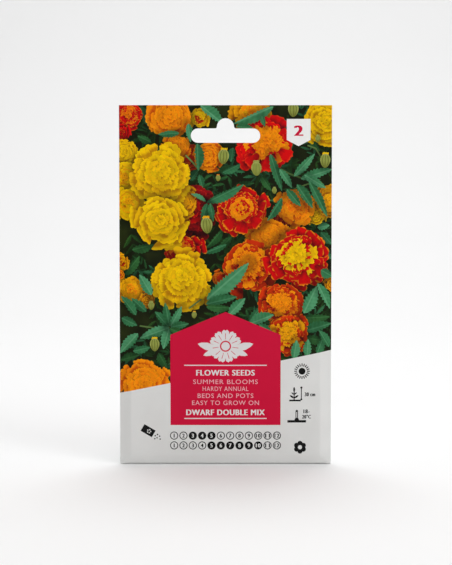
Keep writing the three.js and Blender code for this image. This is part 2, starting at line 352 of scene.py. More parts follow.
# Petal outlines: about -1 to 1 across the petal, and 0 to about 1 from its base to its tip.
RUFFLED = (
    (-0.28, 0.0), (-0.62, 0.32), (-0.90, 0.58), (-1.0, 0.76), (-0.86, 0.92), (-0.62, 0.87), (-0.38, 1.00),
    (-0.10, 0.92), (0.18, 1.03), (0.42, 0.91), (0.68, 0.97), (0.94, 0.82), (0.96, 0.64), (0.66, 0.34),
    (0.28, 0.0),
)  # fmt: skip
NOTCHED = (
    (-0.30, 0.0), (-0.70, 0.36), (-0.98, 0.64), (-0.94, 0.84), (-0.60, 0.98), (-0.22, 0.99), (0.02, 0.86),
    (0.30, 1.00), (0.66, 0.96), (0.96, 0.80), (0.94, 0.60), (0.66, 0.34), (0.30, 0.0),
)  # fmt: skip
QUILLED = (
    (-0.36, 0.0), (-0.52, 0.45), (-0.88, 0.76), (-0.66, 0.95), (-0.16, 0.88), (0.20, 1.02), (0.70, 0.93),
    (0.82, 0.72), (0.52, 0.42), (0.36, 0.0),
)  # fmt: skip


def rounded(points):
    """The outline with each corner cut back, so that a large petal has soft ruffles."""
    cut = []
    for a, b in zip(points, points[1:] + points[:1]):
        for near, far in ((0.78, 0.22), (0.22, 0.78)):
            cut.append((near * a[0] + far * b[0], near * a[1] + far * b[1]))
    return cut


LARGE_PETAL = 3  # mm; wider petals are drawn with soft corners


def petal(drawing, base, tip, width, inks, rng, outline=RUFFLED, shown=1.0):
    """One petal. shown is the share of it, from the tip down, over which its colour deepens."""
    deep, main, rim = inks
    along = (tip[0] - base[0], tip[1] - base[1])
    run = math.hypot(*along) or 1e-6
    across = (along[1] / run * width / 2, -along[0] / run * width / 2)
    points = []
    for u, v in outline:
        u += rng.uniform(-0.08, 0.08)
        v += rng.uniform(-0.05, 0.05) if v > 0.3 else 0
        points.append((base[0] + across[0] * u + along[0] * v, base[1] + across[1] * u + along[1] * v))
    if width > LARGE_PETAL:
        points = rounded(points)
    start = (tip[0] - along[0] * shown, tip[1] - along[1] * shown)
    seen = (along[0] * shown, along[1] * shown)
    drawing.add(points, "petal", main, deep, rim, start, seen, width / 2, rng.random())


def tint(inks, gain, warm=0.0):
    """The same inks a little lighter or darker, and a little redder."""
    return tuple((r * gain, g * gain * (1 - warm), b * gain * (1 - warm)) for r, g, b in inks)


INKS = {
    "yellow": ("#B47C00", "#F2C200", "#FFD400"),
    "gold": ("#A05800", "#F0A400", "#FFC400"),
    "orange": ("#C44C00", "#FA9000", "#FFAC10"),
    "tangerine": ("#A03400", "#F07400", "#FFA010"),
    "rust": ("#5C0602", "#C83002", "#F08810"),
    "flame": ("#6C0C02", "#E08000", "#F8A410"),
    "red": ("#74040A", "#DC0408", "#F03810"),
    "red_gold": ("#60020A", "#D00408", "#F49810"),
    "maroon": ("#34030A", "#90040E", "#C02410"),
    "leaf_light": ("#34784A", "#569E70", "#7CBC8E"),
    "leaf": ("#245A34", "#3C8052", "#5EA474"),
    "leaf_deep": ("#1E4A22", "#366E38", "#4E8C50"),
    "leaf_dark": ("#1C3A14", "#325E24", "#466E30"),
    "bud": ("#76782C", "#929C48", "#B4B868"),
    "stem": ("#3A5A28", "#6A8A4A", "#9AB878"),
}
INKS = {name: tuple(linear(code) for code in codes) for name, codes in INKS.items()}
# Where a head's rings of petals lie, as shares of its radius, from the rim inwards.
FULL_RINGS = (1.0, 0.85, 0.71, 0.57, 0.44, 0.32, 0.20, 0.09)
TWO_TONE_RINGS = (1.0, 0.82, 0.66, 0.56, 0.46, 0.35, 0.24, 0.12)


SMALL_HEAD = 5  # mm; smaller heads have half the rings


def bloom(drawing, x, z, radius, outer, inner, core, squash, width, lean, seed):
    """A double flower head: rings of petals from the rim inwards, each over the one before."""
    rng = random.Random(seed)
    drawing.shade((x, z - 0.06 * radius), (x, z), radius * 0.9, 0.17 * radius + 0.8, 0.66)
    lobes = [(n, rng.uniform(0, 2 * math.pi), rng.uniform(0.03, 0.07)) for n in (2, 3, 5)]
    two_tone = inner != outer
    rings = TWO_TONE_RINGS if two_tone else FULL_RINGS
    for share in rings if radius > SMALL_HEAD else rings[::2]:
        centre = (x + lean[0] * radius * (1 - share), z + lean[1] * radius * (1 - share))
        tuft = share <= core
        mixed = two_tone and abs(share - core) < 0.17
        spread = (0.62 if tuft else 1.3) if two_tone else 1.0
        size = radius * width * (0.30 + 0.92 * share) * spread
        around = math.pi * share * radius * (1 + squash)
        count = max(4, round(around / (0.70 * size)))
        phase = rng.random()
        order = list(range(count))
        rng.shuffle(order)
        for k in order:
            angle = 2 * math.pi * (k + phase + rng.uniform(-0.34, 0.34)) / count
            swell = 1 + sum(depth * math.sin(n * angle + turn) for n, turn, depth in lobes)
            out = share * radius * swell * rng.uniform(0.90 - 0.05 * share, 1.07 + 0.07 * share)
            reach = radius * rng.uniform(0.34, 0.48) * (0.6 + 0.4 * share) * (1.25 if two_tone else 1)
            twist = angle + rng.uniform(-0.30, 0.30) * (1.4 - share)
            tip = (centre[0] + math.cos(angle) * out, centre[1] + math.sin(angle) * out * squash)
            back = max(out - reach, 0.0)
            base = (centre[0] + math.cos(twist) * back, centre[1] + math.sin(twist) * back * squash)
            inks = INKS[inner if (rng.random() < 0.5 if mixed else tuft) else outer]
            facing = 0.10 * (math.sin(angle) - 0.4 * math.cos(angle)) * share
            mine = tint(inks, 1 + facing + rng.uniform(-0.22, 0.12), rng.uniform(-0.04, 0.10))
            kind = QUILLED if tuft and two_tone or share < 0.3 else rng.choice((RUFFLED, RUFFLED, NOTCHED))
            run = max(math.hypot(tip[0] - base[0], tip[1] - base[1]), 0.1)
            shown = min(1.0, (0.27 if two_tone and not tuft else 0.17) * radius / run)
            petal(drawing, base, tip, size * rng.uniform(0.8, 1.4), mine, rng, kind, shown)


def leaflet(drawing, x0, z0, x1, z1, width, inks, seed, shadow=0.45):
    """One toothed, lance-shaped leaflet from its stalk to its tip."""
    rng = random.Random(seed)
    drawing.shade((x0, z0), (x1, z1), width * 0.35, 1.3, shadow)
    along = (x1 - x0, z1 - z0)
    run = math.hypot(*along)
    across = (along[1] / run, -along[0] / run)
    bend = rng.uniform(-0.08, 0.08) * run
    teeth = max(4, round(run / 1.7))
    points = []
    for side in (1, -1):
        edge = []
        for i in range(teeth + 1):
            for notch, tooth in ((0.0, 0.74), (0.74, 1.0)):
                v = (i + notch) / (teeth + 1)
                if v == 0:
                    continue
                swell = math.sin(math.pi * v**0.85) ** 0.75
                half = width / 2 * swell * tooth * rng.uniform(0.92, 1.05) * side
                out = half + bend * math.sin(math.pi * v)
                edge.append((x0 + along[0] * v + across[0] * out, z0 + along[1] * v + across[1] * out))
        points += [(x0, z0)] + edge if side == 1 else [(x1, z1)] + edge[::-1]
    drawing.add(points, "leaf", inks[1], inks[0], inks[2], (x0, z0), along, width / 2, rng.random())


def stalk(drawing, points, width, inks):
    """A thin stem along a few points."""
    left, right = [], []
    for i, (x, z) in enumerate(points):
        ahead = points[min(i + 1, len(points) - 1)]
        behind = points[max(i - 1, 0)]
        run = math.hypot(ahead[0] - behind[0], ahead[1] - behind[1]) or 1
        nx, nz = (ahead[1] - behind[1]) / run * width / 2, -(ahead[0] - behind[0]) / run * width / 2
        left.append((x + nx, z + nz))
        right.append((x - nx, z - nz))
    drawing.shade(points[0], points[-1], width * 0.3, 0.8, 0.3)
    drawing.add(left + right[::-1], "spot", inks[1])


def spray(drawing, x, z, angle, span, inks, rng, shadow):
    """A compound leaf: pairs of leaflets along a stalk, and one at its end."""
    pairs = 3
    ux, uz = math.cos(angle), math.sin(angle)
    for i in range(pairs):
        share = (i + 0.6) / (pairs + 0.5)
        px, pz = x + ux * span * share, z + uz * span * share
        for side in (1, -1):
            turn = angle + side * rng.uniform(0.55, 0.95)
            size = span * rng.uniform(0.34, 0.5) * (1 - 0.25 * share)
            mine = tint(inks, rng.uniform(0.75, 1.25))
            leaflet(
                drawing, px, pz, px + math.cos(turn) * size, pz + math.sin(turn) * size, size * 0.30, mine,
                rng.random(), shadow,
            )  # fmt: skip
    leaflet(drawing, x + ux * span * 0.8, z + uz * span * 0.8, x + ux * span * 1.3, z + uz * span * 1.3,
            span * 0.15, inks, rng.random(), shadow)  # fmt: skip


EGG_WIDTH = 0.36  # half width of a bud over its length


def bud(drawing, x, z, size, angle, tip_inks, seed):
    """A closed flower bud: an egg of ribbed sepals under a tuft of petal tips."""
    rng = random.Random(seed)
    ux, uz = math.cos(angle), math.sin(angle)
    drawing.shade((x, z), (x + ux * size, z + uz * size), size * 0.3, 1.1, 0.5)
    for i in range(-2, 3):
        base = (x + ux * size * 0.6, z + uz * size * 0.6)
        tip = (x + ux * size * 1.12 - uz * i * 0.09 * size, z + uz * size * 1.12 + ux * i * 0.09 * size)
        petal(drawing, base, tip, size * 0.2, tip_inks, rng, QUILLED)
    turns = [2 * math.pi * i / 20 for i in range(20)]
    broad = EGG_WIDTH * size
    egg = []
    for t in turns:
        fuller = 1 + 0.18 * math.cos(t)
        egg.append((0.5 * size + 0.5 * size * math.cos(t), broad * math.sin(t) * fuller))
    deep, main, rim = INKS["bud"]
    axis = (ux * size, uz * size)
    drawing.add(turned(egg, x, z, angle), "petal", main, deep, rim, (x, z), axis, broad, rng.random())
    for i in (-1, 0, 1):
        arc = []
        for t in range(7):
            bow = math.sin(math.pi * (0.08 + 0.84 * t / 6)) ** 0.7
            arc.append((0.06 + 0.9 * t / 6, i * 0.22 * bow))
        rib = [(u * size, v * size + 0.02 * size) for u, v in arc]
        rib += [(u * size, v * size - 0.02 * size) for u, v in arc[::-1]]
        drawing.add(turned(rib, x, z, angle), "spot", tint(INKS["bud"], 0.78)[1])


# The flower bed, in millimetres from the middle of the base: heads and leaves listed one by one.
# Each head: x, z, radius, outer inks, inner inks, core, squash, petal width, lean.
HEADS_BEHIND = (
    (12.3, 156.6, 9.6, "gold", "orange", 0.5, 0.9, 0.42, (0.0, 0.1)),
    (-11.6, 155.2, 4.8, "yellow", "rust", 0.35, 0.9, 0.60, (0.0, 0.0)),
    (-43.9, 156.3, 7.2, "red_gold", "tangerine", 0.45, 1.0, 0.48, (0.1, 0.1)),
    (-46.5, 148.4, 3.6, "red", "rust", 0.4, 1.2, 0.60, (0.0, 0.0)),
    (-17.2, 138.0, 5.6, "rust", "red", 0.4, 1.0, 0.58, (0.0, 0.0)),
    (-7.6, 138.4, 6.3, "orange", "orange", 0.4, 1.15, 0.60, (-0.2, 0.1)),
    (-13.0, 113.6, 9.6, "maroon", "red", 0.3, 1.25, 0.48, (-0.3, 0.2)),
    (-19.6, 117.6, 6.8, "gold", "gold", 0.5, 1.2, 0.48, (0.0, 0.1)),
    (25.5, 111.0, 6.0, "maroon", "rust", 0.4, 0.8, 0.58, (0.0, 0.0)),
    (40.4, 112.0, 4.6, "yellow", "yellow", 0.4, 0.9, 0.60, (0.0, 0.0)),
    (45.8, 118.6, 6.2, "gold", "gold", 0.6, 1.2, 0.35, (0.1, 0.0)),
    (-42.4, 78.4, 6.6, "gold", "orange", 0.35, 0.9, 0.54, (0.0, 0.1)),
    (-35.0, 74.5, 3.6, "gold", "gold", 0.4, 1.0, 0.60, (0.0, 0.0)),
    (-46.8, 91.0, 3.8, "gold", "rust", 0.4, 1.1, 0.60, (0.0, 0.0)),
    (-47.4, 85.6, 2.0, "orange", "rust", 0.4, 1.0, 0.60, (0.0, 0.0)),
    (47.6, 81.6, 3.2, "gold", "gold", 0.4, 1.2, 0.60, (0.0, 0.0)),
    (-18.6, 96.6, 8.8, "red_gold", "tangerine", 0.62, 0.8, 0.48, (-0.1, 0.1)),
    (-2.6, 84.0, 3.4, "tangerine", "rust", 0.4, 1.0, 0.60, (0.0, 0.0)),
)
HEADS = (
    (-24.8, 155.4, 10.6, "orange", "orange", 0.5, 0.86, 0.48, (0.05, 0.15)),
    (44.2, 153.0, 9.6, "yellow", "yellow", 0.5, 1.05, 0.54, (0.1, 0.15)),
    (-22.2, 142.6, 6.6, "orange", "orange", 0.5, 0.82, 0.42, (0.0, 0.15)),
    (-45.4, 140.0, 6.4, "yellow", "yellow", 0.5, 0.95, 0.51, (0.0, 0.1)),
    (-45.0, 129.2, 6.6, "yellow", "gold", 0.5, 1.0, 0.54, (0.0, 0.1)),
    (-43.2, 117.2, 7.6, "yellow", "gold", 0.5, 0.95, 0.51, (0.0, 0.2)),
    (17.9, 143.4, 13.2, "red", "orange", 0.66, 0.92, 0.40, (0.02, 0.28)),
    (31.4, 115.3, 8.4, "orange", "tangerine", 0.5, 1.0, 0.38, (0.0, 0.2)),
    (-28.8, 130.2, 13.8, "yellow", "yellow", 0.5, 0.98, 0.32, (0.0, 0.16)),
    (19.2, 101.8, 11.6, "orange", "orange", 0.5, 0.82, 0.38, (0.0, 0.18)),
    (-29.0, 109.0, 12.2, "yellow", "yellow", 0.5, 0.92, 0.60, (0.0, 0.10)),
    (6.8, 114.4, 11.6, "red_gold", "orange", 0.38, 0.96, 0.43, (0.0, 0.10)),
    (10.4, 88.6, 12.0, "rust", "orange", 0.68, 0.98, 0.38, (0.0, 0.36)),
    (32.6, 92.6, 14.0, "red_gold", "yellow", 0.60, 0.94, 0.37, (-0.12, 0.22)),
    (25.2, 72.4, 9.8, "rust", "orange", 0.72, 0.96, 0.42, (0.0, 0.1)),
    (28.0, 58.8, 8.6, "rust", "gold", 0.66, 1.15, 0.50, (0.0, 0.1)),
    (-19.3, 82.0, 14.2, "yellow", "yellow", 0.5, 0.90, 0.37, (0.0, 0.26)),
    (-36.6, 35.4, 12.4, "orange", "orange", 0.5, 0.92, 0.38, (0.0, 0.16)),
)
# Each leaflet: stalk x, z, tip x, z, width, inks.
LEAVES_BEHIND = (
    (-38.0, 160.5, -34.2, 151.6, 5.0, "leaf"), (-40.5, 161.0, -38.6, 154.0, 4.0, "leaf_deep"),
    (-33.2, 144.6, -39.2, 147.4, 3.8, "leaf_deep"), (-7.3, 132.1, 2.6, 134.4, 3.6, "leaf_deep"),
    (-1.3, 131.0, 7.2, 135.0, 3.4, "leaf"), (3.4, 142.2, 2.4, 135.8, 3.8, "leaf"),
    (15.9, 129.6, 20.6, 122.8, 3.6, "leaf_deep"), (3.2, 124.4, 12.9, 126.4, 3.4, "leaf_deep"),
    (-15.8, 127.4, -12.0, 132.4, 3.8, "leaf"), (-11.8, 130.2, -10.2, 124.2, 3.4, "leaf"),
    (-41.7, 96.6, -31.8, 99.0, 4.6, "leaf_deep"), (-45.0, 85.4, -38.4, 93.8, 4.6, "leaf_deep"),
    (2.9, 102.6, -4.4, 95.4, 3.6, "leaf_deep"), (-1.0, 106.0, -9.0, 97.0, 3.4, "leaf_deep"),
    (0.5, 99.0, -9.5, 95.0, 3.0, "leaf"), (10.5, 64.5, 16.0, 71.5, 4.6, "leaf"),
    (33.0, 66.0, 46.8, 66.6, 5.2, "leaf_deep"), (35.0, 60.2, 47.6, 63.6, 5.2, "leaf"),
    (35.2, 57.2, 46.8, 55.6, 4.8, "leaf_deep"), (43.4, 98.6, 47.4, 92.4, 4.2, "leaf_light"),
    (42.5, 104.5, 47.6, 99.0, 4.4, "leaf"), (41.0, 106.5, 46.5, 107.5, 4.0, "leaf_light"),
    (-46.6, 66.0, -39.6, 62.8, 4.6, "leaf"), (-47.0, 47.0, -38.5, 49.5, 4.2, "leaf_deep"),
    (-30.0, 50.5, -26.2, 43.6, 4.4, "leaf_deep"), (38.0, 147.0, 42.0, 140.5, 3.8, "leaf_deep"),
)  # fmt: skip
LEAVES = (
    (-11.2, 161.0, -1.2, 152.8, 5.4, "leaf_light"), (21.4, 160.4, 3.6, 152.8, 4.8, "leaf_light"),
    (16.2, 156.2, 17.6, 151.6, 2.6, "leaf"), (4.7, 151.6, 12.2, 151.0, 2.6, "leaf"),
    (-20.6, 148.6, -30.0, 148.0, 3.6, "leaf"), (-16.6, 152.8, -15.6, 144.6, 3.6, "leaf_light"),
    (-12.6, 144.0, -12.2, 132.0, 4.8, "leaf"), (20.0, 139.4, 25.2, 122.8, 4.4, "leaf"),
    (24.1, 132.6, 29.6, 124.2, 3.8, "leaf_light"), (30.6, 129.4, 39.8, 139.4, 4.2, "leaf_light"),
    (33.6, 128.2, 47.8, 132.6, 4.8, "leaf_light"), (35.2, 130.0, 44.8, 124.2, 4.2, "leaf_light"),
    (37.4, 127.2, 45.4, 111.4, 4.4, "leaf"), (31.8, 125.8, 38.8, 115.2, 4.8, "leaf"),
    (27.3, 123.6, 33.6, 116.0, 4.4, "leaf"), (25.2, 119.8, 18.6, 109.6, 4.0, "leaf"),
    (-8.4, 117.7, 8.2, 125.8, 4.8, "leaf"), (-8.8, 118.2, -15.4, 121.6, 2.4, "leaf_light"),
    (-8.2, 117.4, -10.6, 108.8, 4.2, "leaf"), (-6.8, 117.4, -5.4, 109.2, 3.4, "leaf"),
    (-8.4, 74.4, 10.4, 90.8, 7.6, "leaf_light"), (-8.8, 72.4, 5.2, 75.6, 5.0, "leaf"),
    (-8.6, 71.2, 2.8, 70.6, 4.0, "leaf_deep"), (1.4, 67.4, 8.8, 75.0, 5.2, "leaf_light"),
    (10.8, 63.6, 21.6, 67.6, 5.6, "leaf_light"), (15.0, 63.2, 20.8, 59.6, 4.6, "leaf"),
    (-33.0, 76.4, -38.4, 85.6, 5.2, "leaf_light"), (-35.4, 69.0, -42.0, 75.0, 4.4, "leaf"),
    (-40.0, 67.4, -46.8, 75.8, 4.4, "leaf"), (-25.2, 61.8, -38.4, 57.0, 5.4, "leaf_light"),
    (-25.2, 61.6, -27.8, 52.2, 4.8, "leaf_light"), (-25.4, 62.2, -31.6, 69.0, 4.4, "leaf"),
    (-25.0, 62.4, -27.0, 73.0, 4.2, "leaf"), (-24.6, 62.4, -19.6, 71.4, 4.0, "leaf_light"),
    (-24.6, 62.0, -16.4, 63.6, 4.0, "leaf"), (-24.8, 61.4, -18.8, 58.8, 3.6, "leaf_deep"),
    (-39.2, 59.2, -47.4, 50.2, 5.2, "leaf_light"), (-41.4, 51.2, -33.6, 53.0, 4.0, "leaf"),
    (35.0, 68.2, 40.8, 80.4, 6.4, "leaf_light"), (41.2, 81.6, 46.8, 70.2, 4.4, "leaf_light"),
    (42.6, 87.6, 48.0, 84.6, 5.0, "leaf"), (30.6, 47.8, 31.8, 56.2, 4.8, "leaf_light"),
    (36.6, 48.8, 37.0, 56.6, 4.4, "leaf_light"), (41.0, 50.0, 43.6, 57.0, 4.4, "leaf"),
    (46.5, 53.0, 42.0, 60.5, 4.2, "leaf"),
)  # fmt: skip
# Broad petals that stand out of a head: base x, z, tip x, z, width, inks.
BROAD_PETALS = (
    (4.4, 110.4, -0.4, 106.6, 6.0, "red_gold"),
    (8.2, 109.4, 6.8, 103.6, 6.4, "red_gold"), (11.2, 111.0, 15.4, 107.4, 6.0, "red_gold"),
    (35.0, 87.4, 35.4, 80.4, 6.2, "red_gold"), (40.0, 89.6, 44.8, 85.4, 5.8, "red_gold"),
    (14.6, 139.4, 10.2, 133.8, 6.6, "red"), (19.4, 138.6, 19.6, 131.4, 7.0, "red"),
    (24.0, 141.2, 29.2, 137.4, 6.4, "red"),
)  # fmt: skip
STEMS = (
    ((-17.8, 138.8), (-14.6, 135.6), (-11.8, 132.1)), ((24.3, 133.0), (28.4, 130.6), (34.0, 128.6)),
    ((36.6, 143.2), (40.2, 141.8), (42.6, 138.0)), ((-38.4, 62.6), (-31.0, 61.6), (-25.0, 61.8)),
    ((-16.4, 70.4), (-10.8, 74.6)), ((35.0, 118.6), (30.6, 123.8), (42.4, 128.0)),
)  # fmt: skip
# Each bud: x, z, size, angle in degrees, inks of its tip.
BUDS = (
    (13.9, 129.6, 6.2, 92, "bud"), (-1.2, 134.8, 6.6, 85, "yellow"), (44.4, 133.2, 6.2, 88, "yellow"),
    (-8.0, 104.0, 7.0, 96, "gold"), (-31.6, 51.2, 5.8, 92, "yellow"), (30.2, 155.8, 6.4, 90, "bud"),
    (41.2, 144.6, 3.0, 90, "bud"), (-14.0, 66.0, 3.0, 90, "gold"), (-33.2, 69.8, 3.6, 90, "bud"),
    (-3.3, 127.2, 2.8, 90, "tangerine"), (21.8, 121.6, 2.8, 90, "bud"),
)  # fmt: skip


def flower_bed(drawing):
    """The dense bed of marigolds: dark undergrowth, leaves, flower heads and buds."""
    rng = random.Random(11)
    deep_sprays, middle_sprays = 70, 105
    for _ in range(deep_sprays):
        x, z = rng.uniform(-50, 50), rng.uniform(36, 162)
        angle, span = rng.uniform(0, 2 * math.pi), rng.uniform(12, 18)
        spray(drawing, x, z, angle, span, INKS["leaf_dark"], rng, 0.25)
    for _ in range(middle_sprays):
        x, z = rng.uniform(-48, 48), rng.uniform(42, 160)
        inks = INKS[rng.choice(("leaf_dark", "leaf_deep", "leaf", "leaf"))]
        spray(drawing, x, z, rng.uniform(0, 2 * math.pi), rng.uniform(9, 14), inks, rng, 0.4)
    for i, (x0, z0, x1, z1, width, inks) in enumerate(LEAVES_BEHIND):
        leaflet(drawing, x0, z0, x1, z1, width, INKS[inks], 100 + i)
    for i, (x, z, radius, outer, inner, core, squash, width, lean) in enumerate(HEADS_BEHIND):
        bloom(drawing, x, z, radius, outer, inner, core, squash, width, lean, 300 + i)
    for i, (x, z, radius, outer, inner, core, squash, width, lean) in enumerate(HEADS):
        bloom(drawing, x, z, radius, outer, inner, core, squash, width, lean, 500 + i)
    for x0, z0, x1, z1, width, inks in BROAD_PETALS:
        middle = ((x0 + x1) / 2, (z0 + z1) / 2)
        drawing.shade(middle, (x1, z1), width * 0.36, 0.9, 0.3)
        petal(drawing, (x0, z0), (x1, z1), width, INKS[inks], rng)
    for points in STEMS:
        stalk(drawing, points, 0.7, INKS["stem"])
    for i, (x0, z0, x1, z1, width, inks) in enumerate(LEAVES):
        leaflet(drawing, x0, z0, x1, z1, width, INKS[inks], 200 + i)
    for i, (x, z, size, angle, inks) in enumerate(BUDS):
        bud(drawing, x, z, size, math.radians(angle), INKS[inks], 700 + i)


def lettering(drawing, text, x, z, cap, ink, width=None, bold=0.0):
    """Words centred on x with their feet at z, a filled shape for each letter's faces."""
    bpy.ops.object.select_all(action="DESELECT")
    bpy.ops.object.text_add()
    letters = bpy.context.object
    letters.data.body = text
    letters.data.align_x = "CENTER"
    letters.data.resolution_u = 3
    letters.data.space_character = 1.12
    bpy.ops.object.convert(target="MESH")
    points = [v.co.xy for v in letters.data.vertices]
    faces = [list(polygon.vertices) for polygon in letters.data.polygons]
    bpy.data.objects.remove(letters)
    low, high = min(p.x for p in points), max(p.x for p in points)
    rise = cap / max(p.y for p in points)
    stretch = width / (high - low) if width else rise * 0.86
    middle = (low + high) / 2
    for shift in (-bold, 0, bold) if bold else (0,):
        for face in faces:
            outline = [((points[i].x - middle) * stretch + shift, points[i].y * rise) for i in face]
            drawing.add([(x + u, z + v) for u, v in outline], "spot", ink)


def house(low, shoulder, apex, half):
    """A tall label with upright sides and a pointed top."""
    return [(-half, low), (half, low), (half, shoulder), (0, apex), (-half, shoulder)]


LEAF_MARK = (
    (0.0, 0.0), (0.3, 0.16), (0.6, 0.17), (0.85, 0.1), (1.0, 0.0), (0.85, -0.1), (0.6, -0.17), (0.3, -0.16),
)  # fmt: skip
PETAL_MARK = (
    (0.2, -0.05), (0.6, -0.2), (0.88, -0.22), (1.0, -0.1), (0.94, 0.0), (1.0, 0.1), (0.88, 0.22), (0.6, 0.2),
    (0.2, 0.05),
)  # fmt: skip
CREASE_MARK = ((0.42, -0.012), (0.78, -0.02), (0.78, 0.02), (0.42, 0.012))


def emblem(drawing, x, z, white, ground):
    """A generic white blossom with a pair of leaves, in place of a maker's mark."""
    for side in (1, -1):
        for degrees, reach in ((16, 9.8), (-20, 7.4)):
            angle = math.radians(degrees if side > 0 else 180 - degrees)
            drawing.add(turned(LEAF_MARK, x + side * 3.0, z - 1.6, angle, reach), "spot", white)
    count, reach = 11, 7.4
    for i in range(count):
        angle = 2 * math.pi * i / count + math.pi / 2
        drawing.add(turned(PETAL_MARK, x, z, angle, reach), "spot", white)
        drawing.add(turned(CREASE_MARK, x, z, angle, reach), "spot", ground)
    drawing.add(disc(x, z, 2.5, 24), "spot", ground)
    drawing.add(disc(x, z, 1.9, 24), "spot", white)


SOWING_MONTHS = (3, 4, 5)
FLOWERING_MONTHS = range(5, 11)


def month_row(drawing, z, filled, black, paper):
    """Twelve numbered discs, solid for the months to sow or to flower."""
    start, pitch = -23.1, 4.2
    for month in range(1, 13):
        x = start + (month - 1) * pitch
        drawing.add(disc(x, z, 1.85, 24), "spot", black)
        solid = month in filled
        if not solid:
            drawing.add(disc(x, z, 1.46, 24), "spot", paper)
        width = None if month < 10 else 2.0
        lettering(drawing, str(month), x, z - 0.88, 1.76, paper if solid else black, width, 0.12)


def sun_icon(drawing, x, z, black):
    """A disc with short rays round it."""
    rays = 20
    drawing.add(disc(x, z, 1.55, 24), "spot", black)
    for i in range(rays):
        drawing.add(turned(bar(2.2, -0.23, 3.5, 0.23), x, z, 2 * math.pi * i / rays), "spot", black)


def plant_icon(drawing, x, z, black):
    """A seedling on the ground beside an upright arrow."""
    drawing.add(bar(x - 2.8, z, x + 2.4, z + 0.75), "spot", black)
    drawing.add(bar(x - 0.85, z + 0.7, x - 0.35, z + 5.0), "spot", black)
    leaves = ((35, 2.4, 1.4), (145, 2.4, 1.4), (90, 2.6, 4.0), (40, 1.6, 3.0), (140, 1.6, 3.0))
    for angle, reach, lift in leaves:
        mark = turned(LEAF_MARK, 0, 0, math.radians(angle), reach)
        drawing.add([(px + x - 0.6, pz + z + lift) for px, pz in mark], "spot", black)
    drawing.add(bar(x + 2.45, z + 0.6, x + 2.85, z + 6.0), "spot", black)
    drawing.add(disc(x + 2.65, z + 6.2, 0.5, 12), "spot", black)
    drawing.add(disc(x + 2.65, z + 0.9, 0.45, 12), "spot", black)


def thermometer_icon(drawing, x, z, black, paper):
    """A thermometer standing on the ground."""
    drawing.add(bar(x - 4.2, z, x + 4.2, z + 1.1), "spot", black)
    drawing.add(disc(x, z + 1.2, 1.0, 16), "spot", black)
    drawing.add(bar(x - 0.55, z + 1.0, x + 0.55, z + 5.2), "spot", black)
    drawing.add(disc(x, z + 5.2, 0.55, 12), "spot", black)
    drawing.add(bar(x - 0.18, z + 2.2, x + 0.18, z + 4.8), "spot", paper)


def flower_icon(drawing, x, z, black, paper):
    """Six round petals about a pale middle."""
    for i in range(6):
        angle = math.pi / 6 + i * math.pi / 3
        drawing.add(disc(x + 1.75 * math.cos(angle), z + 1.75 * math.sin(angle), 1.15, 16), "spot", black)
    drawing.add(disc(x, z, 1.8, 20), "spot", black)
    drawing.add(disc(x, z, 0.95, 18), "spot", paper)


def pouring_icon(drawing, x, z, black, paper):
    """A tipped packet with seeds falling from its corner."""
    angle = math.radians(-30)
    drawing.add(turned(bar(-2.9, -1.75, 2.9, 1.75), x, z, angle), "spot", black)
    for i in range(5):
        turn = 2 * math.pi * i / 5 + 0.4
        dot = disc(0.75 * math.cos(turn) + 0.5, 0.75 * math.sin(turn), 0.32, 10)
        drawing.add(turned(dot, x, z, angle), "spot", paper)
    for dx, dz in ((3.2, -2.3), (4.2, -1.7), (4.0, -3.2), (5.2, -2.5), (5.4, -3.8), (3.0, -3.6)):
        drawing.add(disc(x + dx, z + dz, 0.34, 8), "spot", black)


MARK_WHITE = linear("#E4E0E0")


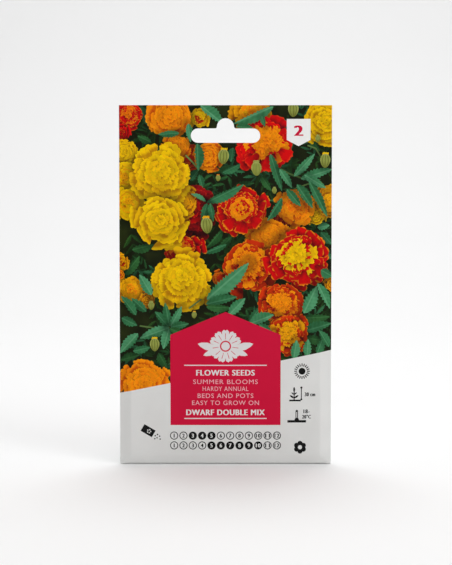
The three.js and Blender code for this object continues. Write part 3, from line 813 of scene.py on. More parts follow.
def front_print(colours, fold):
    """Everything printed on the front, from the bare paper up."""
    drawing = Drawing()
    paper, label, black = tuple(colours.paper), tuple(colours.label), tuple(colours.black)
    white = MARK_WHITE
    edge = fold.bleed + 2
    left, right, beyond = 31.4, 52.5, 170  # heights of the slanting edge's ends, and one past the top
    picture = [(-edge, left), (edge, right), (edge, beyond), (-edge, beyond)]
    drawing.add(picture, "spot", linear("#28300F"))
    flower_bed(drawing)
    drawing.add([(-edge, -3), (edge, -3), (edge, right), (-edge, left)], "paper", paper)
    drawing.add(house(low=17.9, shoulder=58.6, apex=68.9, half=24.7), "spot", label)
    emblem(drawing, 0, 53.5, white, label)
    for z in (44.9, 20.9):
        drawing.add(bar(-18.5, z - 0.22, 18.5, z + 0.22), "spot", white)
    # Each line: words, height of their feet, height of a capital, width, how much bolder.
    lines = (
        ("FLOWER SEEDS", 40.3, 2.55, 26, 0.16), ("SUMMER BLOOMS", 36.5, 2.0, 29, 0.0),
        ("HARDY ANNUAL", 33.35, 2.0, 20.5, 0.0), ("BEDS AND POTS", 30.2, 2.0, 25, 0.0),
        ("EASY TO GROW ON", 27.0, 2.0, 30, 0.0), ("DWARF DOUBLE MIX", 22.4, 2.55, 35, 0.16),
    )  # fmt: skip
    soft = linear("#E8B4BE")
    for words, z, cap, width, bold in lines:
        lettering(drawing, words, 0, z, cap, white if bold else soft, width, bold)
    pennant = [(27.3, 154.9), (37.9, 154.9), (37.9, 145.6), (32.6, 142.8), (27.3, 145.6)]
    drawing.add(pennant, "spot", linear("#FAFAF8"))
    lettering(drawing, "2", 32.6, 147.4, 4.6, label, 3.4, 0.42)
    month_row(drawing, 13.1, SOWING_MONTHS, black, paper)
    month_row(drawing, 8.65, FLOWERING_MONTHS, black, paper)
    sun_icon(drawing, 34.3, 42.2, black)
    plant_icon(drawing, 31.4, 28.6, black)
    lettering(drawing, "30 cm", 37.9, 30.9, 1.7, black, 4.6, 0.12)
    thermometer_icon(drawing, 32.0, 19.0, black, paper)
    lettering(drawing, "18-", 36.4, 23.2, 1.7, black, 2.6, 0.12)
    lettering(drawing, "20°C", 36.4, 20.8, 1.7, black, 3.8, 0.12)
    flower_icon(drawing, 33.5, 7.8, black, paper)
    pouring_icon(drawing, -34.8, 15.3, black, paper)
    return drawing


def back_print(colours):
    """The print on the back: care panels in bars and headings, a guess at what it says."""
    drawing = Drawing()
    paper, label, black = tuple(colours.paper), tuple(colours.label), tuple(colours.black)
    white, grey = MARK_WHITE, linear("#77756F")
    drawing.add(bar(-60, -10, 60, 170), "paper", paper)
    drawing.add(bar(-60, 127, 60, 170), "spot", label)
    drawing.add([(-60, -10), (60, -10), (60, 20), (-60, 12)], "spot", linear("#2E7050"))
    lettering(drawing, "FLOWER SEEDS", 0, 133, 4.4, white, 44, 0.22)
    lettering(drawing, "DWARF DOUBLE MIX", 0, 117, 3.4, label, 40, 0.16)
    rng = random.Random(5)
    half = 17.5  # mm, half the width of a column of text
    for column in (-24, 24):
        for block, top in enumerate((109, 84, 59)):
            lettering(drawing, ("SOWING", "GROWING", "PLACE")[block], column, top, 2.2, label, None, 0.1)
            for line in range(5):
                run = half if line < 4 else rng.uniform(6, 13)
                z = top - 3.2 - line * 3.0
                drawing.add(bar(column - half, z, column - half + 2 * run, z + 0.8), "spot", grey)
    drawing.add(bar(-0.15, 48, 0.15, 110), "spot", grey)
    month_row(drawing, 35.0, SOWING_MONTHS, black, paper)
    month_row(drawing, 29.5, FLOWERING_MONTHS, black, paper)
    sun_icon(drawing, -33.5, 32.3, black)
    flower_icon(drawing, 33.5, 32.3, black, paper)
    return drawing


def slot_outline(fold):
    """The hang slot: a bar with round ends under a dome with small fillets."""
    steps = 10
    radius = fold.slot_height / 2
    end = fold.slot_length / 2 - radius
    dome = fold.slot_dome
    top = fold.slot_centre + radius
    dome_centre = top + 0.7  # mm; the dome stands on a short neck
    fillet = 0.8

    def arc(x, z, r, start, stop):
        turns = [start + (stop - start) * i / steps for i in range(steps + 1)]
        return [(x + r * math.cos(t), z + r * math.sin(t)) for t in turns]

    right = arc(end, fold.slot_centre, radius, -math.pi / 2, math.pi / 2)
    over = arc(0, dome_centre, dome, 0, math.pi)
    left = arc(-end, fold.slot_centre, radius, math.pi / 2, 3 * math.pi / 2)
    neck = [(dome + fillet, top), (dome + fillet * 0.25, top + 0.18)]
    return right + neck + over + [(-x, z) for x, z in reversed(neck)] + left


# ---------------------------------------------------------------------------------------
# Printed sheets as closed meshes.


def arrange(drawing, outline, holes, guides):
    """Cuts the sheet along every printed outline and tells which shape shows on each face."""
    points, faces, edges = [], [], []
    for ring in [outline] + [shape[0] for shape in drawing.shapes] + holes:
        faces.append(list(range(len(points), len(points) + len(ring))))
        points += [Vector(p) for p in ring]
    for line in guides:
        start = len(points)
        points += [Vector(p) for p in line]
        edges += [(start + i, start + i + 1) for i in range(len(line) - 1)]
    first_hole = 1 + len(drawing.shapes)
    weld = 1e-4  # mm; points nearer than this become one
    found = delaunay_2d_cdt(points, edges, faces, 0, weld, True)
    flat, cuts, triangles, _, cut_origins, owners = found
    rings = [outline] + [shape[0] for shape in drawing.shapes] + holes
    boxes = [(*np.min(ring, 0), *np.max(ring, 0)) for ring in rings]
    kept, tops = [], []
    for triangle, owner in zip(triangles, owners):
        x = sum(flat[i].x for i in triangle) / 3
        z = sum(flat[i].y for i in triangle) / 3
        for top in sorted(owner, reverse=True):
            low_x, low_z, high_x, high_z = boxes[top]
            if low_x <= x <= high_x and low_z <= z <= high_z:
                break
        if 0 in owner and top < first_hole:
            kept.append(triangle)
            tops.append(top - 1)
    kinds = {}
    paints = []
    for index, (_, finish, main, *_) in enumerate(drawing.shapes):
        # Spot shapes of one colour count as one, so that no cut is left between them.
        paints.append(kinds.setdefault((finish, main) if finish == "spot" else (index,), index))
    tops = [paints[top] if top >= 0 else -1 for top in tops]
    guide_cuts = set()
    for cut, origin in zip(cuts, cut_origins):
        if origin and min(origin) < len(edges):
            guide_cuts.add(frozenset(cut))
    return joined_runs(flat, kept, tops, guide_cuts)


def joined_runs(flat, triangles, tops, guide_cuts):
    """Removes the cuts that no colour change or guide follows, and triangulates again."""
    shape = bmesh.new()
    verts = [shape.verts.new((x, z, 0)) for x, z in flat]
    layer = shape.faces.layers.int.new("top")
    shape.verts.index_update()
    for triangle, top in zip(triangles, tops):
        face = shape.faces.new([verts[i] for i in triangle])
        face[layer] = int(top)
    for edge in shape.edges:
        faces = edge.link_faces
        change = len(faces) == 2 and faces[0][layer] != faces[1][layer]
        edge.seam = change or frozenset(v.index for v in edge.verts) in guide_cuts
    loose = [v for v in verts if not v.link_faces]
    bmesh.ops.delete(shape, geom=loose, context="VERTS")
    bmesh.ops.dissolve_limit(
        shape, angle_limit=0.02, use_dissolve_boundaries=False, verts=shape.verts, edges=shape.edges,
        delimit={"SEAM"},
    )  # fmt: skip
    bmesh.ops.triangulate(shape, faces=shape.faces)
    shape.verts.ensure_lookup_table()
    shape.verts.index_update()
    flat = np.array([v.co.xy for v in shape.verts])
    triangles = np.array([[v.index for v in f.verts] for f in shape.faces])
    tops = np.array([f[layer] for f in shape.faces])
    shape.free()
    return flat, triangles, tops


DARKEST = 0.30  # the least share of its brightness that a print keeps under the shadows


def halo_shade(drawing, flat, triangles, tops):
    """Darkness at each face corner under the soft shadows of the shapes printed later."""
    corners = flat[triangles].reshape(-1, 2)
    level = np.repeat(tops, 3)
    shade = np.ones(len(corners))
    for index, start, end, radius, softness, strength in drawing.shadows:
        under = level < index
        if not under.any():
            continue
        a, b = np.array(start), np.array(end)
        beside = np.abs(corners[:, 0] - (a[0] + b[0]) / 2)
        near = under & (beside < radius + 3 * softness + abs(a[0] - b[0]))
        p = corners[near]
        run = b - a
        t = np.clip(((p - a) @ run) / max(run @ run, 1e-9), 0, 1)
        apart = np.linalg.norm(p - a - t[:, None] * run, axis=1) - radius
        shade[near] *= 1 - strength * np.exp(-((np.maximum(apart, 0) / softness) ** 2))
    return np.maximum(shade, DARKEST)


def printed_sheet(name, drawing, outline, holes, guides, place, thickness):
    """A closed paper sheet whose outer face is cut along its print."""
    flat, triangles, tops = arrange(drawing, outline, holes, guides)
    outer = place(flat[:, 0], flat[:, 1])
    normals = surface_normals(place, flat[:, 0], flat[:, 1])
    edges = dict.fromkeys(pair for a, b, c in triangles for pair in ((a, b), (b, c), (c, a)))
    rim = [pair for pair in edges if (pair[1], pair[0]) not in edges]
    rim_verts = sorted({v for pair in rim for v in pair})
    place_of = {v: i for i, v in enumerate(rim_verts)}
    # The inner face keeps the outline's points, and needs few others.
    rim_points = [Vector(flat[v]) for v in rim_verts]
    spare = sorted({(float(s), float(w)) for line in guides for s, w in line})
    margin, weld = 0.4, 1e-7
    spare = [Vector(p) for p in spare if inside(*p, outline, holes, margin)]
    rim_edges = [(place_of[a], place_of[b]) for a, b in rim]
    found = delaunay_2d_cdt(rim_points + spare, rim_edges, [], 0, weld, True)
    inner_flat = np.array([tuple(p) for p in found[0]])
    inner_triangles = []
    for triangle in found[2]:
        if inside(*inner_flat[list(triangle)].mean(0), outline, holes, 0.0):
            inner_triangles.append(triangle)
    inner_triangles = np.array(inner_triangles)
    inner_normals = surface_normals(place, inner_flat[:, 0], inner_flat[:, 1])
    inner = place(inner_flat[:, 0], inner_flat[:, 1]) - inner_normals * thickness
    start = len(flat)
    to_inner = {}
    for index, origins in enumerate(found[3]):
        for origin in origins:
            if origin < len(rim_verts):
                to_inner[rim_verts[origin]] = start + index
    walls = []
    for a, b in rim:
        walls += [(b, a, to_inner[a]), (b, to_inner[a], to_inner[b])]
    points = np.concatenate([outer, inner]) * MM
    inner_faces = inner_triangles[:, ::-1] + start
    faces = np.concatenate([triangles, inner_faces, np.array(walls)])
    mesh = bpy.data.meshes.new(name)
    mesh.from_pydata(points.tolist(), [], faces.tolist())
    for material in print_materials():
        mesh.materials.append(material)
    count = len(triangles)
    shapes = drawing.shapes
    finish = np.zeros(len(faces), np.int32)
    finish[:count] = [FINISHES.index(shapes[t][1]) if t >= 0 else 0 for t in tops]
    mesh.polygons.foreach_set("material_index", finish)
    mesh.polygons.foreach_set("use_smooth", np.ones(len(faces), bool))
    print_attributes(mesh, drawing, flat, triangles, tops)
    corner_normals = np.zeros((len(faces) * 3, 3))
    corner_normals[: count * 3] = normals[triangles].reshape(-1, 3)
    inner_count = len(inner_faces)
    flipped = -inner_normals[(inner_faces - start)]
    corner_normals[count * 3 : (count + inner_count) * 3] = flipped.reshape(-1, 3)
    wall_corners = points[np.array(walls)]
    wall_normals = np.cross(wall_corners[:, 1] - wall_corners[:, 0], wall_corners[:, 2] - wall_corners[:, 0])
    wall_normals /= np.maximum(np.linalg.norm(wall_normals, axis=1, keepdims=True), 1e-12)
    corner_normals[(count + inner_count) * 3 :] = np.repeat(wall_normals, 3, 0)
    own_map(mesh, flat, triangles, inner_flat, inner_faces - start, walls, start, thickness)
    mesh.validate()
    mesh.normals_split_custom_set(corner_normals.tolist())
    sheet = bpy.data.objects.new(name, mesh)
    bpy.context.scene.collection.objects.link(sheet)
    return sheet


def crossed(x, z, ring):
    """True for a point inside a closed outline."""
    odd = False
    for (x0, z0), (x1, z1) in zip(ring, ring[1:] + ring[:1]):
        if (z0 > z) != (z1 > z) and x < x0 + (z - z0) / (z1 - z0) * (x1 - x0):
            odd = not odd
    return odd


def inside(x, z, outline, holes, margin):
    """True for a point of the sheet that is at least about a margin from its edges."""
    for dx, dz in ((margin, 0), (-margin, 0), (0, margin), (0, -margin)):
        if not crossed(x + dx, z + dz, outline) or any(crossed(x + dx, z + dz, hole) for hole in holes):
            return False
    return True


DRAWN_PAPER = linear("#E4E4E2")


def print_attributes(mesh, drawing, flat, triangles, tops):
    """Each printed face's inks, its shape's own axes and its shade, for the ink materials."""
    count = len(triangles) * 3
    total = len(mesh.loops)
    bare = ((), "paper", DRAWN_PAPER, DRAWN_PAPER, DRAWN_PAPER, (0, 0), (1, 0), (0, 1), 0)
    shapes = drawing.shapes + [bare]
    corners = flat[triangles].reshape(-1, 2)
    level = np.repeat(tops, 3)
    origin = np.array([s[5] for s in shapes], float)[level]
    across = np.array([s[6] for s in shapes], float)[level]
    along = np.array([s[7] for s in shapes], float)[level]
    seed = np.array([s[8] for s in shapes], float)[level]
    offset = corners - origin
    u = (offset * across).sum(1) / np.maximum((across**2).sum(1), 1e-9)
    v = (offset * along).sum(1) / np.maximum((along**2).sum(1), 1e-9)
    local = np.zeros((total, 3))
    local[:count] = np.stack([u, v, seed], 1)
    mesh.attributes.new("print_axes", "FLOAT_VECTOR", "CORNER").data.foreach_set("vector", local.ravel())
    shade = np.ones(total)
    shade[:count] = halo_shade(drawing, flat, triangles, tops)
    mesh.attributes.new("print_shade", "FLOAT", "CORNER").data.foreach_set("value", shade)
    for name, column in (("ink_main", 2), ("ink_deep", 3), ("ink_rim", 4)):
        inks = np.array([tuple(s[column]) for s in shapes], float)
        rgba = np.ones((total, 4))
        rgba[:, :3] = DRAWN_PAPER
        rgba[:count, :3] = np.clip(inks[level], 0, 1)
        mesh.attributes.new(name, "FLOAT_COLOR", "CORNER").data.foreach_set("color", rgba.ravel())


def own_map(mesh, flat, triangles, inner_flat, inner_faces, walls, start, thickness):
    """The bake map: the outer face fills it, above a strip for the inner face."""
    low, high = flat.min(0), flat.max(0)
    span = high - low
    strip, gap = 0.05, 0.012
    margin = thickness * 1.5

    def outer_place(points):
        share = (points - low + margin) / (span + 2 * margin)
        return np.stack([share[:, 0], strip + (1 - strip) * share[:, 1]], 1)

    def inner_place(points):
        share = (points - low) / span
        return np.stack([gap + share[:, 0] * 0.5, gap / 2 + share[:, 1] * (strip - gap)], 1)

    middle = (low + high) / 2
    outer_uv = outer_place(flat[triangles].reshape(-1, 2))
    inner_uv = inner_place(inner_flat[inner_faces].reshape(-1, 2))
    wall_uv = []
    for wall in walls:
        for vert in wall:
            if vert < start:
                wall_uv.append(flat[vert])
            else:
                point = inner_flat[vert - start]
                away = np.sign(point - middle) * (np.abs(point - middle) > span / 2 - 1e-3)
                wall_uv.append(point + away * thickness)
    wall_uv = outer_place(np.array(wall_uv))
    layer = mesh.uv_layers.new(name="OFBake")
    layer.uv.foreach_set("vector", np.concatenate([outer_uv, inner_uv, wall_uv]).ravel())


# ---------------------------------------------------------------------------------------
# Materials.


def add(tree, kind, entries=None):
    """Adds a node. Each entry is a property, an input's value, or a socket linked to an input."""
    node = tree.nodes.new(kind)
    for name, value in (entries or {}).items():
        if isinstance(value, bpy.types.NodeSocket):
            tree.links.new(value, node.inputs[name])
        elif isinstance(name, int) or name in node.inputs:
            node.inputs[name].default_value = value
        else:
            setattr(node, name, value)
    return node


def new_material(name):
    """An empty material, and its node tree."""
    material = bpy.data.materials.new(name)
    material.use_nodes = True
    material.node_tree.nodes.clear()
    return material, material.node_tree


def print_surface(tree, colour_socket, roughness):
    """Clay-coated paper under ink: satin, with a faint fibre grain in gloss and relief."""
    fibre, cloud = 0.5 * MM, 14 * MM
    place = add(tree, "ShaderNodeTexCoord").outputs["Object"]
    fine = add(tree, "ShaderNodeTexNoise", {"Scale": 1 / fibre, "Detail": 3.0, "Vector": place})
    coarse = add(tree, "ShaderNodeTexNoise", {"Scale": 1 / cloud, "Detail": 2.0, "Vector": place})
    grain, drift = fine.outputs["Fac"], coarse.outputs["Fac"]
    gloss = add(tree, "ShaderNodeMapRange", {
        "To Min": roughness - 0.06, "To Max": roughness + 0.08, "Value": grain,
    })  # fmt: skip
    mottle = add(tree, "ShaderNodeMapRange", {"To Min": 0.955, "To Max": 1.045, "Value": drift})
    tinted = add(tree, "ShaderNodeMixRGB", {
        "blend_type": "MULTIPLY", "Fac": 1.0, "Color1": colour_socket, "Color2": mottle.outputs["Result"],
    })  # fmt: skip
    relief = add(tree, "ShaderNodeBump", {"Strength": 0.12, "Distance": 0.04 * MM, "Height": grain})
    shader = add(tree, "ShaderNodeBsdfPrincipled", {
        "Specular IOR Level": 0.1, "IOR": 1.48, "Base Color": tinted.outputs["Color"],
        "Roughness": gloss.outputs["Result"], "Normal": relief.outputs["Normal"],
    })  # fmt: skip
    add(tree, "ShaderNodeOutputMaterial", {"Surface": shader.outputs["BSDF"]})


def shaded(tree, colour_socket):
    """The colour, darkened by the soft shadows of the shapes printed later."""
    shade = add(tree, "ShaderNodeAttribute", {"attribute_name": "print_shade"})
    mixed = add(tree, "ShaderNodeMixRGB", {
        "blend_type": "MULTIPLY", "Fac": 1.0, "Color1": colour_socket, "Color2": shade.outputs["Fac"],
    })  # fmt: skip
    return mixed.outputs["Color"]


def shape_axes(tree):
    """A printed shape's own axes, and how far across and along it a point lies."""
    axes = add(tree, "ShaderNodeAttribute", {"attribute_name": "print_axes"}).outputs["Vector"]
    parts = add(tree, "ShaderNodeSeparateXYZ", {"Vector": axes})
    return axes, parts.outputs["X"], parts.outputs["Y"]


def stretched_noise(tree, axes, stretch, detail):
    """Noise along a shape's own axes. The last number tells one shape from the next."""
    place = add(tree, "ShaderNodeVectorMath", {"operation": "MULTIPLY", 0: axes, 1: stretch})
    noise = add(tree, "ShaderNodeTexNoise", {"Scale": 1.0, "Detail": detail, "Vector": place.outputs[0]})
    return noise.outputs["Fac"]


def three_inks(tree, tone, rim):
    """Deep ink where the tone is low and main ink where it is high, with the rim ink over them."""
    deep, main, light = (
        add(tree, "ShaderNodeAttribute", {"attribute_name": name}).outputs["Color"]
        for name in ("ink_deep", "ink_main", "ink_rim")
    )
    floor = add(tree, "ShaderNodeMath", {"operation": "MAXIMUM", 0: tone, 1: 0.0})
    share = add(tree, "ShaderNodeMath", {"operation": "MINIMUM", 0: floor.outputs[0], 1: 1.0})
    body = add(tree, "ShaderNodeMixRGB", {
        "use_clamp": True, "Fac": share.outputs[0], "Color1": deep, "Color2": main,
    })  # fmt: skip
    lit = add(tree, "ShaderNodeMixRGB", {"Fac": rim, "Color1": body.outputs["Color"], "Color2": light})
    print_surface(tree, shaded(tree, lit.outputs["Color"]), 0.46)


def petal_inks():
    """Process inks of the petals: streaks along each petal, folds across it, a lit rim."""
    material, tree = new_material("offset_inks_petals")
    axes, u, v = shape_axes(tree)
    streaks = stretched_noise(tree, axes, (3.2, 0.5, 60), 2.0)
    folds = stretched_noise(tree, axes, (1.3, 0.8, 90), 1.0)
    rise = add(tree, "ShaderNodeMapRange", {"From Min": -0.05, "From Max": 0.55, "To Max": 1.0, "Value": v})
    tone = rise.outputs["Result"]
    for pattern, weight, middle in ((folds, 1.3, 0.62), (streaks, 0.9, 0.42)):
        low = add(tree, "ShaderNodeMath", {"operation": "SUBTRACT", 0: tone, 1: middle}).outputs[0]
        sum_of = {"operation": "MULTIPLY_ADD", 0: pattern, 1: weight, 2: low}
        tone = add(tree, "ShaderNodeMath", sum_of).outputs[0]
    off_middle = add(tree, "ShaderNodeMath", {"operation": "ABSOLUTE", 0: u}).outputs[0]
    edge = add(tree, "ShaderNodeMath", {"operation": "MAXIMUM", 0: v, 1: off_middle}).outputs[0]
    rim = add(tree, "ShaderNodeMapRange", {
        "interpolation_type": "SMOOTHSTEP", "From Min": 0.80, "From Max": 0.98, "To Max": 0.9, "Value": edge,
    })  # fmt: skip
    three_inks(tree, tone, rim.outputs["Result"])
    return material


def leaf_inks():
    """Process inks of the leaves: one half lighter than the other, a pale midrib, veins."""
    material, tree = new_material("offset_inks_leaves")
    axes, u, v = shape_axes(tree)
    blotch = stretched_noise(tree, axes, (1.5, 4.0, 50), 2.0)
    half = add(tree, "ShaderNodeMapRange", {
        "From Min": -0.35, "From Max": 0.35, "To Min": 0.25, "To Max": 0.75, "Value": u,
    })  # fmt: skip
    off_midrib = add(tree, "ShaderNodeMath", {"operation": "ABSOLUTE", 0: u}).outputs[0]
    ahead = add(tree, "ShaderNodeMath", {"operation": "MULTIPLY", 0: v, 1: 46.0}).outputs[0]
    slant = add(tree, "ShaderNodeMath", {"operation": "MULTIPLY_ADD", 0: off_midrib, 1: -4.0, 2: ahead})
    wave = add(tree, "ShaderNodeMath", {"operation": "SINE", 0: slant.outputs[0]}).outputs[0]
    veins = add(tree, "ShaderNodeMath", {"operation": "MULTIPLY", 0: wave, 1: 0.10}).outputs[0]
    patches = add(tree, "ShaderNodeMath", {"operation": "MULTIPLY_ADD", 0: blotch, 1: 1.0, 2: -0.5})
    tone = half.outputs["Result"]
    for part in (patches.outputs[0], veins):
        tone = add(tree, "ShaderNodeMath", {"operation": "ADD", 0: tone, 1: part}).outputs[0]
    rib = add(tree, "ShaderNodeMapRange", {
        "interpolation_type": "SMOOTHSTEP", "From Min": 0.16, "From Max": 0.02, "To Max": 0.4,
        "Value": off_midrib,
    })  # fmt: skip
    three_inks(tree, tone, rib.outputs["Result"])
    return material


def spot_inks():
    """Flat line inks: label, lettering, icons and the dark ground of the picture."""
    material, tree = new_material("offset_spot_inks")
    ink = add(tree, "ShaderNodeAttribute", {"attribute_name": "ink_main"})
    print_surface(tree, shaded(tree, ink.outputs["Color"]), 0.48)
    return material


def coated_paper():
    """Clay-coated white paper: smooth and satin, very slightly uneven in tone."""
    material, tree = new_material("coated_paper")
    paper = add(tree, "ShaderNodeRGB")
    paper.outputs[0].default_value = (*settings("colours").paper, 1)
    print_surface(tree, paper.outputs[0], 0.5)
    return material


def plain_material(name, colour_value, roughness, metallic, grain_mm, relief_mm):
    """A solid stuff with its own small grain: dry glue, foil laminate or seed husk."""
    material, tree = new_material(name)
    place = add(tree, "ShaderNodeTexCoord").outputs["Object"]
    size = grain_mm * MM
    noise = add(tree, "ShaderNodeTexNoise", {"Scale": 1 / size, "Detail": 4.0, "Vector": place})
    grain = noise.outputs["Fac"]
    ramp = add(tree, "ShaderNodeValToRGB", {"Fac": grain})
    low, high = ramp.color_ramp.elements
    low.position, high.position = 0.3, 0.7
    low.color = (*[c * 0.72 for c in colour_value], 1)
    high.color = (*[min(1, c * 1.2) for c in colour_value], 1)
    relief = add(tree, "ShaderNodeBump", {"Strength": 0.5, "Distance": relief_mm * MM, "Height": grain})
    shader = add(tree, "ShaderNodeBsdfPrincipled", {
        "Roughness": roughness, "Metallic": metallic, "Base Color": ramp.outputs["Color"],
        "Normal": relief.outputs["Normal"],
    })  # fmt: skip
    add(tree, "ShaderNodeOutputMaterial", {"Surface": shader.outputs["BSDF"]})
    return material


def print_materials():
    """The sheet's materials, in the order of FINISHES."""
    makers = (("coated_paper", coated_paper), ("offset_spot_inks", spot_inks),
              ("offset_inks_petals", petal_inks), ("offset_inks_leaves", leaf_inks))  # fmt: skip
    return [bpy.data.materials.get(name) or make() for name, make in makers]


# ---------------------------------------------------------------------------------------
# Operators.


class PACKET_OT_camera(bpy.types.Operator):
    """Places the camera in front of the packet"""

    bl_idname = "packet.camera"
    bl_label = "Camera"

    def execute(self, context):
        stage = settings("stage")
        sensor = 36  # mm
        away = stage.view_height * stage.lens / sensor
        back = Vector((0, -math.cos(stage.tilt), math.sin(stage.tilt)))
        target = Vector((stage.packet_side, 0, stage.packet_centre))
        bpy.ops.object.camera_add(location=target + back * away)
        camera = context.object
        camera.rotation_euler = (-back).to_track_quat("-Z", "Y").to_euler()
        camera.data.lens = stage.lens
        camera.data.sensor_width = sensor
        context.scene.camera = camera
        return {"FINISHED"}


class PACKET_OT_stage(bpy.types.Operator):
    """Builds the pale floor that curves up behind, and the soft studio light"""

    bl_idname = "packet.stage"
    bl_label = "Stage and light"

    def execute(self, context):
        bpy.ops.object.select_all(action="DESELECT")
        bpy.ops.mesh.primitive_grid_add(x_subdivisions=2, y_subdivisions=48, size=1)
        sweep = context.object
        sweep.name = "sweep"
        # In metres: the floor's flat part, the radius of its curve, and where that curve starts.
        reach, width, flat, bend, behind = 2.4, 4.0, 1.5, 0.5, 0.6
        for vert in sweep.data.vertices:
            run = (vert.co.y + 0.5) * 2 * reach
            if run < flat:
                y, z = run - flat + behind, 0.0
            elif run < flat + bend * math.pi / 2:
                turn = (run - flat) / bend
                y, z = behind + bend * math.sin(turn), bend * (1 - math.cos(turn))
            else:
                y, z = behind + bend, bend + run - flat - bend * math.pi / 2
            vert.co = (vert.co.x * width, y, z)
        bpy.ops.object.shade_smooth()
        material, tree = new_material("matt_studio_sweep")
        pale = (0.86, 0.86, 0.86, 1)
        shader = add(tree, "ShaderNodeBsdfPrincipled", {"Roughness": 0.9, "Base Color": pale})
        add(tree, "ShaderNodeOutputMaterial", {"Surface": shader.outputs["BSDF"]})
        sweep.data.materials.append(material)
        # Each lamp: name, place, the point it is aimed at, width, watts.
        lamps = (
            ("overhead_softbox", (0.0, 0.38, 1.5), (0.0, 0.0, 0.0), 1.3, 17.6),
            ("back_softbox", (0.0, 0.9, 1.3), (0.0, 0.0, 0.0), 1.0, 1.2),
            ("right_softbox", (1.2, -1.1, 0.9), (0.0, 0.0, 0.08), 0.9, 8.9),
            ("front_softbox", (0.0, -1.8, 0.8), (0.0, 0.0, 0.08), 1.2, 4.5),
            ("high_front_softbox", (0.3, -0.7, 1.3), (0.0, 0.0, 0.05), 0.9, 4.0),
        )
        for name, place, aim, size, power in lamps:
            bpy.ops.object.light_add(type="AREA", location=place)
            lamp = context.object
            lamp.name = name
            lamp.data.shape = "SQUARE"
            lamp.data.size = size
            lamp.data.energy = power
            lamp.rotation_euler = (Vector(aim) - Vector(place)).to_track_quat("-Z", "Y").to_euler()
        world = bpy.data.worlds.new("studio")
        world.use_nodes = True
        tree = world.node_tree
        tree.nodes.clear()
        # A dim, even fill, though the walls that the camera sees past the floor are pale.
        seen = add(tree, "ShaderNodeLightPath").outputs["Is Camera Ray"]
        strength = add(tree, "ShaderNodeMapRange", {"To Min": 0.12, "To Max": 0.86, "Value": seen})
        glow = {"Color": (1, 1, 1, 1), "Strength": strength.outputs["Result"]}
        fill = add(tree, "ShaderNodeBackground", glow)
        add(tree, "ShaderNodeOutputWorld", {"Surface": fill.outputs["Background"]})
        context.scene.world = world
        context.scene.view_settings.view_transform = "Standard"
        return {"FINISHED"}


BEVEL_ROWS = (0.2, 0.45, 0.7, 0.86, 1.0, 1.14)  # shares of the bevel where a cut follows it
BEVEL_COLUMNS = (0.5, 0.72, 0.86, 1.0, 1.14)
RAMP_SHARES = (0, 0.25, 0.5, 0.75, 1)


def guide_lines(low_s, high_s, low_w, high_w, extra_s, extra_w):
    """Straight cuts that let the sheet follow its folds and its soft bulge."""
    rows = sorted({low_w, high_w, *extra_w, *np.arange(8, high_w - 0.5, 5.1)})
    spread = [s for s in np.arange(-45, 46, 5.0) if low_s < s < high_s]
    columns = sorted({low_s, high_s, *extra_s, *spread})
    lines = [[(s, w) for w in rows] for s in columns]
    return lines + [[(s, w) for s in columns] for w in rows]


class PACKET_OT_front_sheet(bpy.types.Operator):
    """Folds the printed front of the envelope round its two side folds"""

    bl_idname = "packet.front_sheet"
    bl_label = "Printed front"

    def execute(self, context):
        fold = Fold(settings("sizes"))
        colours = settings("colours")
        drawing = front_print(colours, fold)
        low = fold.base_radius * (1 - math.pi / 2)
        outline = bar(-fold.bleed, low, fold.bleed, fold.height)
        arcs = [fold.flat + fold.arc * i / 4 for i in range(5)]
        arcs += [fold.flat + fold.arc + fold.side_strip + fold.arc * i / 4 for i in range(5)]
        bevels = [fold.half - fold.bevel * share for share in (0.25, *BEVEL_COLUMNS)]
        columns = [side * s for s in arcs + bevels for side in (1, -1)]
        rows = [*fold.base_turns(), fold.base_radius, *(fold.bevel * share for share in BEVEL_ROWS)]
        guides = guide_lines(-fold.bleed, fold.bleed, low, fold.height, columns, rows)
        sheet = printed_sheet(
            "envelope_front", drawing, outline, [slot_outline(fold)], guides, fold.around_front, fold.paper
        )
        declare_paper(sheet)
        return {"FINISHED"}


def declare_paper(sheet):
    """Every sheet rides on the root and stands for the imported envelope."""
    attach(sheet, "root")
    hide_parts(ENVELOPE)


class PACKET_OT_back_panels(bpy.types.Operator):
    """Lays the two back panels, one lapped and glued over the other"""

    bl_idname = "packet.back_panels"
    bl_label = "Back panels"

    def execute(self, context):
        fold = Fold(settings("sizes"))
        drawing = back_print(settings("colours"))
        seam = fold.bleed - (2 * fold.arc + fold.side_strip) - 2 * fold.overrun
        ramps = [-(fold.lap_ramp_end - fold.lap_ramp * share) for share in RAMP_SHARES]
        bevels = [fold.half - fold.bevel * share for share in BEVEL_COLUMNS]
        rows = [fold.bevel * share for share in BEVEL_ROWS]
        panels = (
            ("back_upper", -fold.lap_end, seam, fold.upper_back, [slot_outline(fold)], ramps),
            ("back_under", -seam, -fold.lap_start, fold.under_back, [], []),
        )
        for name, low, high, place, holes, extra in panels:
            columns = [s for b in bevels for s in (b, -b) if low < s < high] + extra
            guides = guide_lines(low, high, fold.back_foot, fold.height, columns, rows)
            outline = bar(low, fold.back_foot, high, fold.height)
            sheet = printed_sheet("envelope_" + name, drawing, outline, holes, guides, place, fold.paper)
            declare_paper(sheet)
        return {"FINISHED"}


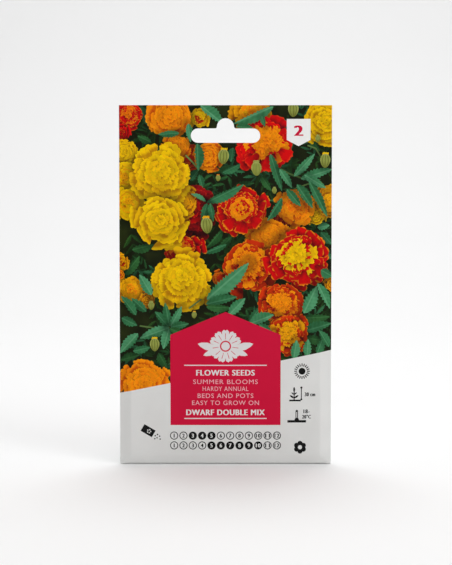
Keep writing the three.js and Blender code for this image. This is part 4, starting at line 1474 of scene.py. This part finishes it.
class PACKET_OT_base_flap(bpy.types.Operator):
    """Folds the strip under the base and the flap glued up the back"""

    bl_idname = "packet.base_flap"
    bl_label = "Base and flap"

    def execute(self, context):
        fold = Fold(settings("sizes"))
        drawing = back_print(settings("colours"))
        turn_start = fold.base_radius * (1 - math.pi / 2)
        low = turn_start - fold.base_strip
        half, wide, top = fold.flap_half, fold.base_half, fold.flap_height
        cut = 1.5  # mm, cut off the flap's two upper corners
        outline = [
            (-wide, low), (wide, low), (wide, turn_start), (half, fold.base_radius), (half, top - cut),
            (half - cut, top), (cut - half, top), (-half, top - cut), (-half, fold.base_radius),
            (-wide, turn_start),
        ]  # fmt: skip
        ends = [fold.flap_lap_end + fold.lap_ramp * share for share in RAMP_SHARES]
        starts = [fold.lap_ramp_end - fold.lap_ramp * share for share in RAMP_SHARES]
        columns = [-x for x in starts + ends]
        rows = [turn_start, *fold.base_turns(), fold.base_radius, 2.2, 4.4, 6.2]
        guides = guide_lines(-wide, wide, low, top, columns, rows)
        sheet = printed_sheet("envelope_base_flap", drawing, outline, [], guides, fold.base_flap, fold.paper)
        declare_paper(sheet)
        return {"FINISHED"}


class PACKET_OT_contents(bpy.types.Operator):
    """Finishes the glue, the inner sachet and the seeds"""

    bl_idname = "packet.contents"
    bl_label = "Glue, sachet and seeds"

    def execute(self, context):
        colours = settings("colours")
        stuffs = (
            ("_glue", plain_material("dry_adhesive", colours.glue, 0.35, 0.0, 1.5, 0.05)),
            ("_film", plain_material("foil_laminate", colours.foil, 0.28, 0.85, 2.0, 0.06)),
            ("seed_", plain_material("seed_husk", colours.husk, 0.7, 0.0, 0.5, 0.1)),
        )
        for name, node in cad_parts.items():
            for part, material in stuffs:
                if part in name:
                    node.data.materials.clear()
                    node.data.materials.append(material)
        return {"FINISHED"}


class PACKET_PT_sidebar(bpy.types.Panel):
    """Lists the packet's pieces and sizes in the sidebar"""

    bl_label = "Seed Packet"
    bl_idname = "PACKET_PT_sidebar"
    bl_space_type = "VIEW_3D"
    bl_region_type = "UI"
    bl_category = "Seed Packet"

    def draw(self, context):
        for group in ("sizes", "colours", "stage"):
            values = settings(group)
            for name in type(values).__annotations__:
                self.layout.prop(values, name)
        for operator in OPERATORS:
            self.layout.operator(operator.bl_idname)


GROUPS = {"sizes": PacketSizes, "colours": PacketColours, "stage": StageSettings}
OPERATORS = (
    PACKET_OT_camera, PACKET_OT_stage, PACKET_OT_front_sheet, PACKET_OT_back_panels, PACKET_OT_base_flap,
    PACKET_OT_contents,
)  # fmt: skip


def register():
    for name, group in GROUPS.items():
        bpy.utils.register_class(group)
        setattr(bpy.types.Scene, "seed_packet_" + name, PointerProperty(type=group))
    for item in (*OPERATORS, PACKET_PT_sidebar):
        bpy.utils.register_class(item)


def unregister():
    for item in (*OPERATORS, PACKET_PT_sidebar):
        bpy.utils.unregister_class(item)
    for name, group in GROUPS.items():
        delattr(bpy.types.Scene, "seed_packet_" + name)
        bpy.utils.unregister_class(group)


def main():
    register()
    for operator in OPERATORS:
        area, name = operator.bl_idname.split(".")
        getattr(getattr(bpy.ops, area), name)()
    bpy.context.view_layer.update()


if __name__ == "__main__":
    main()
